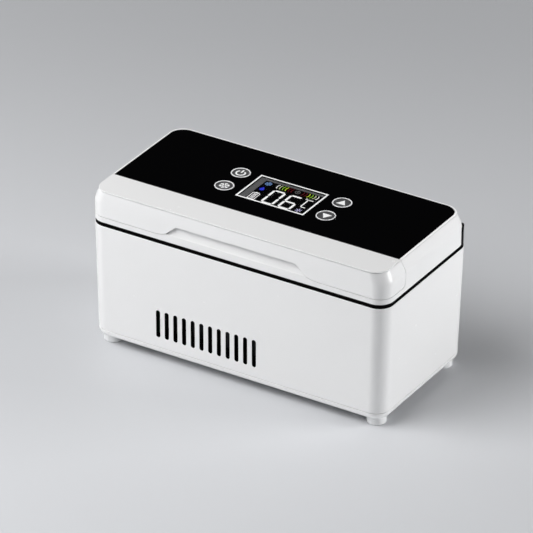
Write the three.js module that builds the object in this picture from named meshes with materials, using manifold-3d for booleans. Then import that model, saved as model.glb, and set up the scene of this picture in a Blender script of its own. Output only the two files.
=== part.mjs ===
// Cooling case for insulin pens: a thermoelectric cold chamber under a hinged lid with a display and keys.
// Millimetres, +Z up. The origin is the middle of the footprint, on the surface that the feet stand on.
// The vented front faces -Y and the hinge runs along the rear at +Y.

import * as THREE from "three";
import { mergeVertices } from "three/addons/utils/BufferGeometryUtils.js";
import Module from "manifold-3d";

const wasm = await Module();
wasm.setup();

// Outer form
const LENGTH = 200;
const WIDTH = 98;
const CORNER = 9.5;
const DRAFT = 0.0197;
const WALL = 2.4;
const FIT = 0.3;

// Heights above the table
const FOOT_TOP = 5.2;
const BASE_SEAM = 9.6;
const RIM = 79.7;
const FRAME_TOP = 82;
const LID_BOTTOM = FRAME_TOP + FIT;
const VISOR_BOTTOM = 86;
const PULL_TOP = 93.7;
const TOP = 103;

// Base cover: rounded lower edge, floor, lip that enters the shell, screw towers and board posts
const BASE_ROUND_UP = 4.2;
const BASE_ROUND_IN = 3;
const FLOOR = FOOT_TOP + 2.2;
const LIP = 1.2;
const LIP_HEIGHT = 2.4;
const BASE_SCREW = { x: 70, y: 41.2, head: 2.9, shank: 1.1, tower: 3.4, web: 1.2, tip: 22 };
const SCREW_EDGE = 0.4;
const BOARD_POST = { x: [-90, -61], y: 33.5, radius: 2.4 };

// Feet
const FOOT = { x: 90, y: 38.3, radius: 5.9, edge: 0.7, stub: 2.4, stubTop: 9 };

// Vent slots in the front and rear walls, the thinner walls round them, and air slots in the base
const VENT = { count: 12, firstX: -52.9, pitch: 5.96, width: 2.75, bottom: 16.8, top: 34.2 };
const VENT_WALL = { skin: 1.2, margin: 3.2 };
const INTAKE = { eachSide: 4, pitch: 4.2, half: 1.1, reach: 17.6 };

// Hinge frame: ring on the body rim with a rear bar that holds the pins
const FRAME = { inset: 0.25, innerX: 92, innerFront: -40, innerRear: 40.3, innerCorner: 5 };
const SKIRT = { depth: 4, thickness: 1.4 };
const HINGE = { y: 44.8, z: 89, bar: 3.95, knuckle: 3.85, web: 2.8, pin: 1.2, bore: 1.32 };
const KNUCKLE_FROM = 22.7;
const KNUCKLE_TO = 61.3;
const PIN_FROM = 6;
const PIN_TO = 80;
const MAGNET = { x: 60, y: -44.2, radius: 3, height: 1.5 };

// Cold chamber, its collar and the foam around it
const CHAMBER = { x: 87.5, y: 27, floor: 44.3, sheet: 1.2, corner: 4, flange: 3.2, flangeTop: 78.2 };
const COLLAR = { x: 95.2, y: 44.2, corner: 5.5, top: 79.6, openX: 86.4, openY: 26.4 };
const FOAM = { x: 96, y: 45, corner: 6.5, bottom: 38.2, shoulder: 75.4, landX: 93.5, landY: 42.5, top: 76.9 };
const SENSOR = { width: 5, thickness: 2.6, bottom: 52, top: 58, inset: 1 };

// Cooling stack, from the fan upwards, centred behind the vents
const STACK_X = -20;
const FAN = { half: 20, bottom: 7.6, top: 17.6, bore: 18.4, base: 1.4, hub: 9, corner: 3 };
const FAN_STRUT = { count: 3, width: 2.2, turn: 0.5 };
const FAN_SCREW = { spacing: 16, radius: 1.7 };
const BEARING = { radius: 2.4, hole: 1.15, floor: 8.4, top: 15.2 };
const ROTOR = { shaft: 1, shaftEnd: 8.6, inner: 7.4, outer: 8.6, rim: 9.5, ceiling: 15.9, top: 17.1 };
const ROTOR_EDGE = 0.5;
const BLADES = { count: 7, root: 8.2, tip: 17.2, chord: 8.4, rootPitch: 0.8, tipPitch: 0.5, thickness: 0.9 };
const SINK = { x: 33, y: 39, bottom: 17.9, base: 30.1, top: 34, fins: 15, fin: 1.3 };
const PELTIER = { half: 20, bottom: 34.1, top: 37.9, skin: 0.7, setback: 0.8 };
const BLOCK = { x: 25, y: 22.5, bottom: 38, top: 43 };

// Battery and main board, either side of the cooling stack
const CELL = { radius: 9.15, fromX: 26, length: 65, edge: 0.7, pitch: 19.4, z: 18.7, tipRadius: 3, tip: 1.1 };
const CRADLE = { fromX: 24.5, toX: 93, y: 30, floor: 9.2, walls: [30.5, 79], wall: 4 };
const BOARD = { x0: -93, x1: -58, y: 36.5, bottom: 12, top: 13.6 };
const BOARD_BLOCKS = [
  { x: -65, y: 11, width: 10, depth: 10, height: 5 },
  { x: -65, y: -4, width: 10, depth: 10, height: 5 },
  { x: -85, y: -3, width: 10, depth: 10, height: 1.4 },
  { x: -85, y: 11, width: 6, depth: 6, height: 1.2 },
  { x: -67, y: -21, width: 14, depth: 6, height: 6 },
  { x: -85, y: -21, width: 10, depth: 6, height: 6 },
];
const CAPACITOR = { x: -76, y: [12, 21], radius: 3.2, height: 9 };
const JACK = { x: -83, halfX: 4.5, front: 33, rear: 44.5, bottom: 13.7, top: 24.7 };
const JACK_Z = (JACK.bottom + JACK.top) / 2;
const JACK_HOLE = { nose: 3.8, bore: 2.8, depth: 9, pin: 1, pinSetback: 1, wallSetback: 0.2 };

// Lid form: a rear face ahead of the hinge bar, and end and rear chamfers that start with a soft bend
const LID_REAR = 45.8;
const BEND = { from: 93.2, to: 96.2, endIn: 2.8, rearIn: 1.5 };
const TOP_EDGE = 0.5;
const NOTCH = { y: 39.2, top: 93.5 };
const DECK = { bottom: 99.5, top: 101.3 };
const LID_INSIDE = { x: 97.2, deckX: 94.6, front: -40.5, rear: 37.9, corner: 4 };
const VISOR = { thickness: 2, seamTop: -27.5, seamMid: -25.8, seamLow: -26.4, corner: 3 };
const PULL = { low: 53.5, bendLow: 49.8, slopeLow: 47.2, slopeHigh: 42.6, high: 40.3, crown: 0.7 };
const SCOOP = { back: -42.8, floor: 85.5, lift: 1.6, backFoot: 90.5 };

// Top panel, display and keys
const PANEL = { x: 96, front: -27.3, rear: 43.2, corner: 9, bottom: 101.4 };
const DISPLAY = { x: 23, y: 3, halfY: 14.8, line: 1.1, lensDrop: 0.2 };
const LCD = { x: 25, halfY: 17, bottom: 94.2, shoulder: 99.3, top: 101.3 };
const KEY = { x: 34.4, rear: 13.4, front: -5.1, radius: 5.9, hole: 6.15, top: 103.3 };
const KEY_RING = { edge: 0.3, width: 0.9, dish: 0.35 };
const KEY_UNDER = { flange: 6.8, flangeHeight: 1.1, stem: 1.7, stemGap: 0.8 };
const CONTROL = { x: 62, front: -14, rear: 22, bottom: 92.4, top: 94 };
const CONTROL_POST = { x: 57, y: [-10, 18], radius: 2.2 };
const CONTROL_BLOCKS = [
  { x: -48, y: 3, width: 8, depth: 8, height: 1.2 },
  { x: 49, y: 4, width: 10, depth: 6, height: 4 },
];
const SWITCH = { half: 3, top: 96.6, well: 1.9, wellBottom: 94.6 };

// Lid underside
const LINER = { x: 96.9, front: -40.2, rear: 37.6, top: 84.3, corner: 3.6 };
const PLUG = { x: 85.4, y: 25.2, bottom: 77.2, skin: 2, innerCorner: 3 };
const LID_FOAM = { x: 74, front: -36, rear: 33, top: 91.8 };
const GASKET = { x: 91.2, y: 30.2, width: 3, corner: 7, bottom: 79.7 };
const LID_SCREW = { x: 80, front: -34.5, rear: 34, boss: 3.2, head: 2.7, headHeight: 1.2, shank: 1, tip: 90 };

// Small allowances: welded points, seats between flat faces, holes round fixed pins, sliding edges,
// and the overlap of forms that are joined or cut
const WELD = 1e-4;
const SEAT = 0.1;
const SNUG = 0.15;
const SLIP = 0.2;
const OVERLAP = 1;

// Where the middle facet of a small rounded edge lies, as a share of the edge's radius
const EDGE_MID = 0.3;

// Facets round a turned form, the fan's bore, a cell, and a hidden hole or post
const ROUND = 16;
const BORE = 24;
const CELL_ROUND = 12;
const COARSE = 8;

// Closed geometry as a solid, with triangles that the weld has flattened left out.
function solid(geometry) {
  const bare = new THREE.BufferGeometry();
  bare.setAttribute("position", geometry.getAttribute("position"));
  bare.setIndex(geometry.getIndex());
  const merged = mergeVertices(bare, WELD);
  const index = merged.getIndex().array;
  const triangles = [];
  for (let i = 0; i < index.length; i += 3) {
    const [a, b, c] = index.slice(i, i + 3);
    if (a !== b && b !== c && c !== a) {
      triangles.push(a, b, c);
    }
  }
  return new wasm.Manifold(new wasm.Mesh({
    numProp: 3,
    vertProperties: new Float32Array(merged.getAttribute("position").array),
    triVerts: new Uint32Array(triangles),
  }));
}

function union(solids) {
  return solids.reduce((all, next) => all.add(next));
}

function box(x0, x1, y0, y1, z0, z1) {
  const geometry = new THREE.BoxGeometry(x1 - x0, y1 - y0, z1 - z0);
  geometry.translate((x0 + x1) / 2, (y0 + y1) / 2, (z0 + z1) / 2);
  return solid(geometry);
}

function cylinder(x, y, radius, z0, z1, segments = ROUND) {
  const geometry = new THREE.CylinderGeometry(radius, radius, z1 - z0, segments);
  geometry.rotateX(Math.PI / 2);
  geometry.translate(x, y, (z0 + z1) / 2);
  return solid(geometry);
}

function cylinderAlongX(y, z, radius, x0, x1) {
  const geometry = new THREE.CylinderGeometry(radius, radius, x1 - x0, ROUND);
  geometry.rotateZ(Math.PI / 2);
  geometry.translate((x0 + x1) / 2, y, z);
  return solid(geometry);
}

function cylinderAlongY(x, z, radius, y0, y1) {
  const geometry = new THREE.CylinderGeometry(radius, radius, y1 - y0, ROUND);
  geometry.translate(x, (y0 + y1) / 2, z);
  return solid(geometry);
}

// Profile of [radius, height] pairs turned about the Z axis.
function turned(profile, segments = ROUND) {
  const geometry = new THREE.LatheGeometry(profile.map(([r, z]) => new THREE.Vector2(r, z)), segments);
  geometry.rotateX(Math.PI / 2);
  return solid(geometry);
}

function roundedRect(x0, x1, y0, y1, radius) {
  const shape = new THREE.Shape();
  shape.absarc(x1 - radius, y0 + radius, radius, -Math.PI / 2, 0);
  shape.absarc(x1 - radius, y1 - radius, radius, 0, Math.PI / 2);
  shape.absarc(x0 + radius, y1 - radius, radius, Math.PI / 2, Math.PI);
  shape.absarc(x0 + radius, y0 + radius, radius, Math.PI, 1.5 * Math.PI);
  shape.closePath();
  return shape;
}

function extrude(shape, depth, detail) {
  return new THREE.ExtrudeGeometry(shape, { depth, bevelEnabled: false, curveSegments: detail });
}

// Plan outline pulled up from z0 to z1.
function prism(shape, z0, z1, detail = 3) {
  const geometry = extrude(shape, z1 - z0, detail);
  geometry.translate(0, 0, z0);
  return solid(geometry);
}

function plate(halfX, y0, y1, radius, z0, z1, detail = 2) {
  return prism(roundedRect(-halfX, halfX, y0, y1, radius), z0, z1, detail);
}

// Side outline of (y, z) points pulled along X.
function alongX(shape, x0, x1, detail = 6) {
  const geometry = extrude(shape, x1 - x0, detail);
  const turn = new THREE.Matrix4().makeBasis(
    new THREE.Vector3(0, 1, 0), new THREE.Vector3(0, 0, 1), new THREE.Vector3(1, 0, 0));
  geometry.applyMatrix4(turn);
  geometry.translate(x0, 0, 0);
  return solid(geometry);
}

// Front outline of (x, z) points pulled along Y.
function alongY(shape, y0, y1, detail = 2) {
  const geometry = extrude(shape, y1 - y0, detail);
  const turn = new THREE.Matrix4().makeBasis(
    new THREE.Vector3(1, 0, 0), new THREE.Vector3(0, 0, 1), new THREE.Vector3(0, -1, 0));
  geometry.applyMatrix4(turn);
  geometry.translate(0, y1, 0);
  return solid(geometry);
}

function polygon(points) {
  return new THREE.Shape(points.map(([u, v]) => new THREE.Vector2(u, v)));
}

// Level rounded rectangle as a loop of points, counter-clockwise from above.
function ring(halfX, y0, y1, radius, z) {
  const centres = [[halfX - radius, y0 + radius], [halfX - radius, y1 - radius],
    [radius - halfX, y1 - radius], [radius - halfX, y0 + radius]];
  const steps = 6;
  const points = [];
  centres.forEach(([x, y], corner) => {
    for (let i = 0; i <= steps; i += 1) {
      const angle = (corner - 1 + i / steps) * Math.PI / 2;
      points.push(new THREE.Vector3(x + radius * Math.cos(angle), y + radius * Math.sin(angle), z));
    }
  });
  return points;
}

// Closed body through loops of equal point count, each counter-clockwise seen from the last one's side.
function loft(rings) {
  const count = rings[0].length;
  const last = (rings.length - 1) * count;
  const index = [];
  for (let i = 0; i < last; i += count) {
    for (let j = 0; j < count; j += 1) {
      const next = (j + 1) % count;
      index.push(i + j, i + next, i + count + next);
      index.push(i + j, i + count + next, i + count + j);
    }
  }
  for (let j = 1; j < count - 1; j += 1) {
    index.push(0, j + 1, j);
    index.push(last, last + j, last + j + 1);
  }
  const geometry = new THREE.BufferGeometry();
  geometry.setFromPoints(rings.flat());
  geometry.setIndex(index);
  return solid(geometry);
}

// Outline of the drafted body at one height, inset from its outer face.
function bodyRing(z, inset) {
  const lean = DRAFT * (RIM - z) + inset;
  const halfY = WIDTH / 2 - lean;
  return ring(LENGTH / 2 - lean, -halfY, halfY, CORNER - inset, z);
}

function bodyBlock(z0, z1, inset) {
  return loft([bodyRing(z0, inset), bodyRing(z1, inset)]);
}

// How far the lid's chamfered sides have come in at one height, as a share of the whole chamfer.
function bendShare(z) {
  const start = (BEND.from + BEND.to) / 2;
  if (z <= BEND.from) {
    return 0;
  }
  const run = z < BEND.to ? (z - BEND.from) ** 2 / (2 * (BEND.to - BEND.from)) : z - start;
  return run / (TOP - start);
}

// Outline of the lid at one height, inset from its outer face.
function lidRing(z, inset) {
  const share = bendShare(z);
  const halfX = LENGTH / 2 - BEND.endIn * share - inset;
  const rear = LID_REAR - BEND.rearIn * share - inset;
  return ring(halfX, inset - WIDTH / 2, rear, CORNER - inset, z);
}

function lidBlock(z0, z1, inset, edge) {
  const bend = [0, 1, 2, 3].map((i) => BEND.from + (BEND.to - BEND.from) * i / 3);
  const rings = [z0, ...bend, z1 - edge].map((z) => lidRing(z, inset));
  if (edge > 0) {
    rings.push(lidRing(z1 - EDGE_MID * edge, inset + EDGE_MID * edge));
    rings.push(lidRing(z1, inset + edge));
  }
  return loft(rings);
}

// The same piece made at each of four places that mirror about both middle planes.
const QUARTERS = [
  ["front_left", -1, -1], ["front_right", 1, -1], ["rear_left", -1, 1], ["rear_right", 1, 1],
];

const SIDES = [["left", -1], ["right", 1]];

// Range of X on the left or right of the middle, low end first.
function span(side, from, to) {
  return side < 0 ? [-to, -from] : [from, to];
}

function quarters(make) {
  return QUARTERS.map(([, sx, sy]) => make(sx, sy));
}

// Distance of the drafted front and rear faces from the middle at one height.
function bodyFace(z) {
  return WIDTH / 2 - DRAFT * (RIM - z);
}

// Upright slots through the front wall and, for the same air, through the rear wall.
function ventSlots() {
  const slots = [];
  const outside = WIDTH / 2 + OVERLAP;
  const inside = WIDTH / 2 - 2 * WALL;
  const half = VENT.width / 2;
  for (let i = 0; i < VENT.count; i += 1) {
    const x = VENT.firstX + VENT.pitch * i;
    const outline = roundedRect(x - half, x + half, VENT.bottom, VENT.top, half);
    slots.push(alongY(outline, -outside, -inside, 1));
    slots.push(alongY(outline, inside, outside, 1));
  }
  return union(slots);
}

// Room behind both rows of slots, where the walls are thinner so that air passes freely.
function ventPocket() {
  const { count, firstX, pitch, width, bottom, top } = VENT;
  const { skin, margin } = VENT_WALL;
  const reach = width / 2 + margin;
  const [x0, x1] = [firstX - reach, firstX + pitch * (count - 1) + reach];
  const [z0, z1] = [bottom - margin, top + margin];
  const corners = [[x1, z0], [x0, z0], [x0, z1], [x1, z1]];
  return loft([-1, 1].map((side) => corners.map(
    ([x, z]) => new THREE.Vector3(x, side * (bodyFace(z) - skin), z))));
}

function bodyShell() {
  const walls = bodyBlock(BASE_SEAM, RIM, 0)
    .subtract(bodyBlock(BASE_SEAM - OVERLAP, RIM + OVERLAP, WALL));
  const postBottom = BASE_SEAM + LIP_HEIGHT + FIT;
  const postTop = FOAM.bottom - SEAT;
  const posts = quarters((sx, sy) => {
    const x = sx * BASE_SCREW.x;
    const y = sy * BASE_SCREW.y;
    const wallY = sy * (WIDTH / 2 - WALL);
    const { web, tower, shank, tip } = BASE_SCREW;
    const rib = box(x - web, x + web, Math.min(y, wallY), Math.max(y, wallY), postBottom, postTop);
    const post = cylinder(x, y, tower, postBottom, postTop, COARSE).add(rib);
    return post.subtract(cylinder(x, y, shank + SNUG, postBottom - OVERLAP, tip + OVERLAP, COARSE));
  });
  const jackHole = cylinderAlongY(JACK.x, JACK_Z, JACK_HOLE.nose + FIT, JACK.rear, WIDTH / 2 + OVERLAP);
  const outside = bodyBlock(BASE_SEAM, RIM, WALL / 2);
  return walls.add(union(posts).intersect(outside)).subtract(union([ventPocket(), ventSlots(), jackHole]));
}

// Parallel air slots inside a circle under the fan.
function intakeSlots() {
  const { eachSide, pitch, half, reach } = INTAKE;
  const slots = [];
  for (let i = -eachSide; i <= eachSide; i += 1) {
    const y = i * pitch;
    const halfX = Math.sqrt(reach ** 2 - y ** 2);
    const outline = roundedRect(STACK_X - halfX, STACK_X + halfX, y - half, y + half, half);
    slots.push(prism(outline, 0, FLOOR + OVERLAP, 1));
  }
  return union(slots);
}

function baseCover() {
  const rings = [0, 1, 2, 3, 4].map((i) => {
    const angle = i / 4 * Math.PI / 2;
    const rise = BASE_ROUND_UP * (1 - Math.cos(angle));
    return bodyRing(FOOT_TOP + rise, BASE_ROUND_IN * (1 - Math.sin(angle)));
  });
  const lipIn = WALL + FIT + LIP;
  const lipTop = BASE_SEAM + LIP_HEIGHT;
  const hollow = bodyBlock(FLOOR, RIM, lipIn);
  const lip = bodyBlock(FLOOR - OVERLAP, lipTop, WALL + FIT);
  const towers = quarters((sx, sy) => cylinder(
    sx * BASE_SCREW.x, sy * BASE_SCREW.y, BASE_SCREW.tower, FLOOR - OVERLAP, lipTop, COARSE));
  const posts = BOARD_POST.x.flatMap((x) => [-1, 1].map((sy) => cylinder(
    x, sy * BOARD_POST.y, BOARD_POST.radius, FLOOR - OVERLAP, BOARD.bottom - SEAT, COARSE)));
  const holes = quarters((sx, sy) => {
    const [x, y] = [sx * BASE_SCREW.x, sy * BASE_SCREW.y];
    const sink = cylinder(x, y, BASE_SCREW.head + FIT, 0, FLOOR, COARSE);
    const shank = cylinder(x, y, BASE_SCREW.shank + FIT, 0, RIM, COARSE);
    const stub = cylinder(sx * FOOT.x, sy * FOOT.y, FOOT.stub + SNUG, 0, FLOOR + OVERLAP);
    return union([sink, shank, stub]);
  });
  const tray = loft(rings).add(lip).subtract(hollow);
  return union([tray, ...towers, ...posts]).subtract(union(holes)).subtract(intakeSlots());
}

// Foot with a stub that enters the base cover. It stands on its own origin.
function foot() {
  const { radius, edge, stub, stubTop } = FOOT;
  const seat = FOOT_TOP - SEAT;
  return turned([[0, 0], [radius - edge, 0], [radius, edge], [radius, seat], [stub, seat], [stub, stubTop],
    [0, stubTop]]);
}

// Pan-head screw with the outer face of its head at the origin and its shank pointing up.
function panScrew(head, headHeight, shank, length) {
  return turned([[0, 0], [head - SCREW_EDGE, 0], [head, SCREW_EDGE], [head, headHeight], [shank, headHeight],
    [shank, length - shank], [0, length]], COARSE);
}

// Ring that seats on the body rim, with the half-round hinge bar along its rear edge.
function hingeFrame() {
  const halfX = LENGTH / 2 - FRAME.inset;
  const halfY = WIDTH / 2 - FRAME.inset;
  const corner = CORNER - FRAME.inset;
  const footprint = plate(halfX, -halfY, halfY, corner, RIM, TOP, 3);
  const inside = plate(FRAME.innerX, FRAME.innerFront, FRAME.innerRear, FRAME.innerCorner, 0, TOP);
  const deck = plate(halfX, -halfY, halfY, corner, RIM, FRAME_TOP, 3).subtract(inside);
  const skirtIn = WALL + FIT;
  const skirtBottom = RIM - SKIRT.depth;
  const skirt = bodyBlock(skirtBottom, RIM + OVERLAP, skirtIn)
    .subtract(bodyBlock(skirtBottom - OVERLAP, FRAME_TOP, skirtIn + SKIRT.thickness));
  const barShape = new THREE.Shape();
  barShape.moveTo(HINGE.y - HINGE.bar, RIM + OVERLAP);
  barShape.lineTo(HINGE.y + HINGE.bar, RIM + OVERLAP);
  barShape.absarc(HINGE.y, HINGE.z, HINGE.bar, 0, Math.PI);
  barShape.closePath();
  const bar = alongX(barShape, -LENGTH, LENGTH).intersect(footprint);
  const windows = SIDES.map(([, side]) => {
    const [x0, x1] = span(side, KNUCKLE_FROM - FIT, KNUCKLE_TO + FIT);
    return box(x0, x1, HINGE.y - 2 * HINGE.bar, HINGE.y + 2 * HINGE.bar, FRAME_TOP, TOP);
  });
  const bores = SIDES.map(([, side]) => {
    const [x0, x1] = span(side, PIN_FROM - SLIP, PIN_TO + SLIP);
    return cylinderAlongX(HINGE.y, HINGE.z, HINGE.bore, x0, x1);
  });
  const pockets = SIDES.map(([, side]) => cylinder(
    side * MAGNET.x, MAGNET.y, MAGNET.radius + SNUG, FRAME_TOP - MAGNET.height - SEAT, TOP));
  return union([deck, skirt, bar]).subtract(union([...windows, ...bores, ...pockets]));
}

// Disc magnet that stands on its own origin.
function magnet() {
  return cylinder(0, 0, MAGNET.radius, 0, MAGNET.height);
}

// Pin along its own Y axis, centred on its origin.
function hingePin() {
  const half = (PIN_TO - PIN_FROM) / 2;
  return cylinderAlongY(0, 0, HINGE.pin, -half, half);
}

// Plate clamped under the hinge frame, with the chamber mouth in it.
function chamberCollar() {
  const outer = plate(COLLAR.x, -COLLAR.y, COLLAR.y, COLLAR.corner, CHAMBER.flangeTop + SEAT, COLLAR.top);
  return outer.subtract(plate(COLLAR.openX, -COLLAR.openY, COLLAR.openY, CHAMBER.corner, 0, TOP));
}

function coldLiner() {
  const { x, y, floor, sheet, corner, flange, flangeTop } = CHAMBER;
  const outside = plate(x + sheet, -y - sheet, y + sheet, corner + sheet, floor - sheet, flangeTop);
  const lip = plate(x + flange, -y - flange, y + flange, corner + flange, flangeTop - sheet, flangeTop);
  return outside.add(lip).subtract(plate(x, -y, y, corner, floor, TOP));
}

// Foam tub between the shell and the cold liner, with a window for the cold block.
function insulationTub() {
  const { sheet } = CHAMBER;
  const block = plate(FOAM.x, -FOAM.y, FOAM.y, FOAM.corner, FOAM.bottom, FOAM.shoulder);
  const land = plate(FOAM.landX, -FOAM.landY, FOAM.landY, FOAM.corner, FOAM.shoulder - OVERLAP, FOAM.top);
  const gap = sheet + FIT;
  const pocket = plate(CHAMBER.x + gap, -CHAMBER.y - gap, CHAMBER.y + gap, CHAMBER.corner + gap,
    CHAMBER.floor - gap, TOP);
  const [windowX, windowY] = [BLOCK.x + FIT, BLOCK.y + FIT];
  const window = box(STACK_X - windowX, STACK_X + windowX, -windowY, windowY, 0, TOP);
  const sensorX = CHAMBER.x + sheet;
  const sensorPocket = box(sensorX, sensorX + SENSOR.thickness + 2 * FIT, -SENSOR.width / 2 - FIT,
    SENSOR.width / 2 + FIT, SENSOR.bottom - FIT, SENSOR.top + FIT);
  return block.add(land).subtract(union([pocket, window, sensorPocket]));
}

function temperatureSensor() {
  const x = CHAMBER.x + CHAMBER.sheet + SEAT;
  const half = SENSOR.width / 2;
  const tab = box(x, x + SENSOR.thickness / 2, -half, half, SENSOR.bottom, SENSOR.top);
  const radius = SENSOR.thickness / 2;
  const { bottom, top, inset } = SENSOR;
  const bead = cylinder(x + radius, 0, radius - SEAT, bottom + inset, top - inset);
  return tab.add(bead);
}

// The cooling stack's pieces are centred on the stack's own vertical axis.
function coldBlock() {
  return box(-BLOCK.x, BLOCK.x, -BLOCK.y, BLOCK.y, BLOCK.bottom, BLOCK.top);
}

// Two ceramic faces with the pellet layer set back between them.
function peltierModule() {
  const { half, bottom, top, skin, setback } = PELTIER;
  const layer = (reach, z0, z1) => box(-reach, reach, -reach, reach, z0, z1);
  const faces = [layer(half, bottom, bottom + skin), layer(half, top - skin, top)];
  return union([...faces, layer(half - setback, bottom, top)]);
}

// Fins hang from the base and run front to rear, so that air leaves through both rows of slots.
function heatSink() {
  const pitch = (2 * SINK.x - SINK.fin) / (SINK.fins - 1);
  const points = [[SINK.x, SINK.top], [-SINK.x, SINK.top]];
  for (let i = 0; i < SINK.fins; i += 1) {
    const x = i * pitch - SINK.x;
    if (i > 0) {
      points.push([x, SINK.base]);
    }
    points.push([x, SINK.bottom], [x + SINK.fin, SINK.bottom]);
    if (i < SINK.fins - 1) {
      points.push([x + SINK.fin, SINK.base]);
    }
  }
  return alongY(polygon(points), -SINK.y, SINK.y);
}

function fanFrame() {
  const { half, bottom, top, bore, base, hub, corner } = FAN;
  const body = plate(half, -half, half, corner, bottom, top).subtract(cylinder(0, 0, bore, 0, TOP, BORE));
  const struts = [];
  for (let i = 0; i < FAN_STRUT.count; i += 1) {
    const strut = new THREE.BoxGeometry(bore - hub + 2 * OVERLAP, FAN_STRUT.width, base);
    strut.translate((bore + hub) / 2, 0, bottom + base / 2);
    strut.rotateZ(i * 2 * Math.PI / FAN_STRUT.count + FAN_STRUT.turn);
    struts.push(solid(strut));
  }
  const mount = cylinder(0, 0, hub, bottom, bottom + base);
  const bearing = cylinder(0, 0, BEARING.radius, bottom, BEARING.top);
  const bearingHole = cylinder(0, 0, BEARING.hole, BEARING.floor, TOP);
  const holes = quarters((sx, sy) => cylinder(
    sx * FAN_SCREW.spacing, sy * FAN_SCREW.spacing, FAN_SCREW.radius, 0, TOP, COARSE));
  return union([body, ...struts, mount, bearing]).subtract(union([bearingHole, ...holes]));
}

// One twisted blade from the hub outwards.
function fanBlade(turn) {
  const out = new THREE.Vector3(Math.cos(turn), Math.sin(turn), 0);
  const side = new THREE.Vector3(-Math.sin(turn), Math.cos(turn), 0);
  const up = new THREE.Vector3(0, 0, 1);
  const middle = new THREE.Vector3(0, 0, (FAN.bottom + FAN.base + FAN.top) / 2);
  const rings = [0, 0.5, 1].map((share) => {
    const pitch = THREE.MathUtils.lerp(BLADES.rootPitch, BLADES.tipPitch, share);
    const radius = THREE.MathUtils.lerp(BLADES.root, BLADES.tip, share);
    const along = side.clone().multiplyScalar(Math.cos(pitch)).addScaledVector(up, Math.sin(pitch));
    const across = side.clone().multiplyScalar(-Math.sin(pitch)).addScaledVector(up, Math.cos(pitch));
    const centre = middle.clone().addScaledVector(out, radius);
    return [[-1, -1], [1, -1], [1, 1], [-1, 1]].map(([u, v]) => centre.clone()
      .addScaledVector(along, u * BLADES.chord / 2).addScaledVector(across, v * BLADES.thickness / 2));
  });
  return loft(rings);
}

function fanRotor() {
  const { shaft, shaftEnd, inner, outer, rim, ceiling, top } = ROTOR;
  const cup = turned([[0, shaftEnd], [shaft, shaftEnd], [shaft, ceiling], [inner, ceiling], [inner, rim],
    [outer, rim], [outer, top - ROTOR_EDGE], [outer - ROTOR_EDGE, top], [0, top]]);
  const blades = [];
  for (let i = 0; i < BLADES.count; i += 1) {
    blades.push(fanBlade(i * 2 * Math.PI / BLADES.count));
  }
  const inside = cylinder(0, 0, (inner + outer) / 2, 0, TOP);
  return cup.add(union(blades).subtract(inside));
}

const CELL_ROWS = [["front", -1], ["middle", 0], ["rear", 1]];

// Cell that stands on its own origin with its raised end up.
function batteryCell() {
  const { radius, length, edge, tipRadius, tip } = CELL;
  return turned([[0, 0], [radius - edge, 0], [radius, edge], [radius, length - edge], [radius - edge, length],
    [tipRadius, length], [tipRadius, length + tip], [0, length + tip]], CELL_ROUND);
}

// Floor with two cross walls that the cells lie in.
function batteryCradle() {
  const { fromX, toX, y, floor, walls, wall } = CRADLE;
  const bottom = FLOOR + SEAT;
  const parts = [box(fromX, toX, -y, y, bottom, floor)];
  walls.forEach((x) => parts.push(box(x, x + wall, -y, y, bottom, CELL.z)));
  const beds = CELL_ROWS.map(([, row]) => cylinderAlongX(
    row * CELL.pitch, CELL.z, CELL.radius + FIT, fromX - OVERLAP, toX + OVERLAP));
  return union(parts).subtract(union(beds));
}

// Box-shaped parts soldered on a board.
function blocksOn(list, bottom, top) {
  return list.map(({ x, y, width, depth, height }) => box(
    x - width / 2, x + width / 2, y - depth / 2, y + depth / 2, (bottom + top) / 2, top + height));
}

// Power board with its coils, capacitors, chips and plug headers.
function mainBoard() {
  const { x0, x1, y, bottom, top } = BOARD;
  const cans = CAPACITOR.y.map((canY) => cylinder(
    CAPACITOR.x, canY, CAPACITOR.radius, bottom, top + CAPACITOR.height, COARSE));
  return union([box(x0, x1, -y, y, bottom, top), ...blocksOn(BOARD_BLOCKS, bottom, top), ...cans]);
}

// Round power socket with a centre pin, its nose set in the rear wall.
function dcJack() {
  const { x, halfX, front, rear, bottom, top } = JACK;
  const { nose, bore, depth, pin, pinSetback, wallSetback } = JACK_HOLE;
  const noseEnd = bodyFace(JACK_Z) - wallSetback;
  const body = box(x - halfX, x + halfX, front, rear, bottom, top).add(
    cylinderAlongY(x, JACK_Z, nose, rear - OVERLAP, noseEnd));
  return body.subtract(cylinderAlongY(x, JACK_Z, bore, noseEnd - depth, noseEnd + OVERLAP))
    .add(cylinderAlongY(x, JACK_Z, pin, noseEnd - depth - OVERLAP, noseEnd - pinSetback));
}

// Side outline of the visor: its lower edge, the rounded corner and the bowed seam up to the panel.
function visorSide(grow) {
  const { seamTop, seamMid, seamLow, corner } = VISOR;
  const low = VISOR_BOTTOM - grow;
  const shape = new THREE.Shape();
  shape.moveTo(-WIDTH, low);
  shape.lineTo(seamLow + grow - corner, low);
  shape.quadraticCurveTo(seamLow + grow, low, seamLow + grow, low + corner);
  shape.quadraticCurveTo(2 * seamMid - seamLow + grow, (low + TOP) / 2, seamTop + grow, TOP);
  shape.lineTo(seamTop + grow, 2 * TOP);
  shape.lineTo(-WIDTH, 2 * TOP);
  shape.closePath();
  return shape;
}

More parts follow.
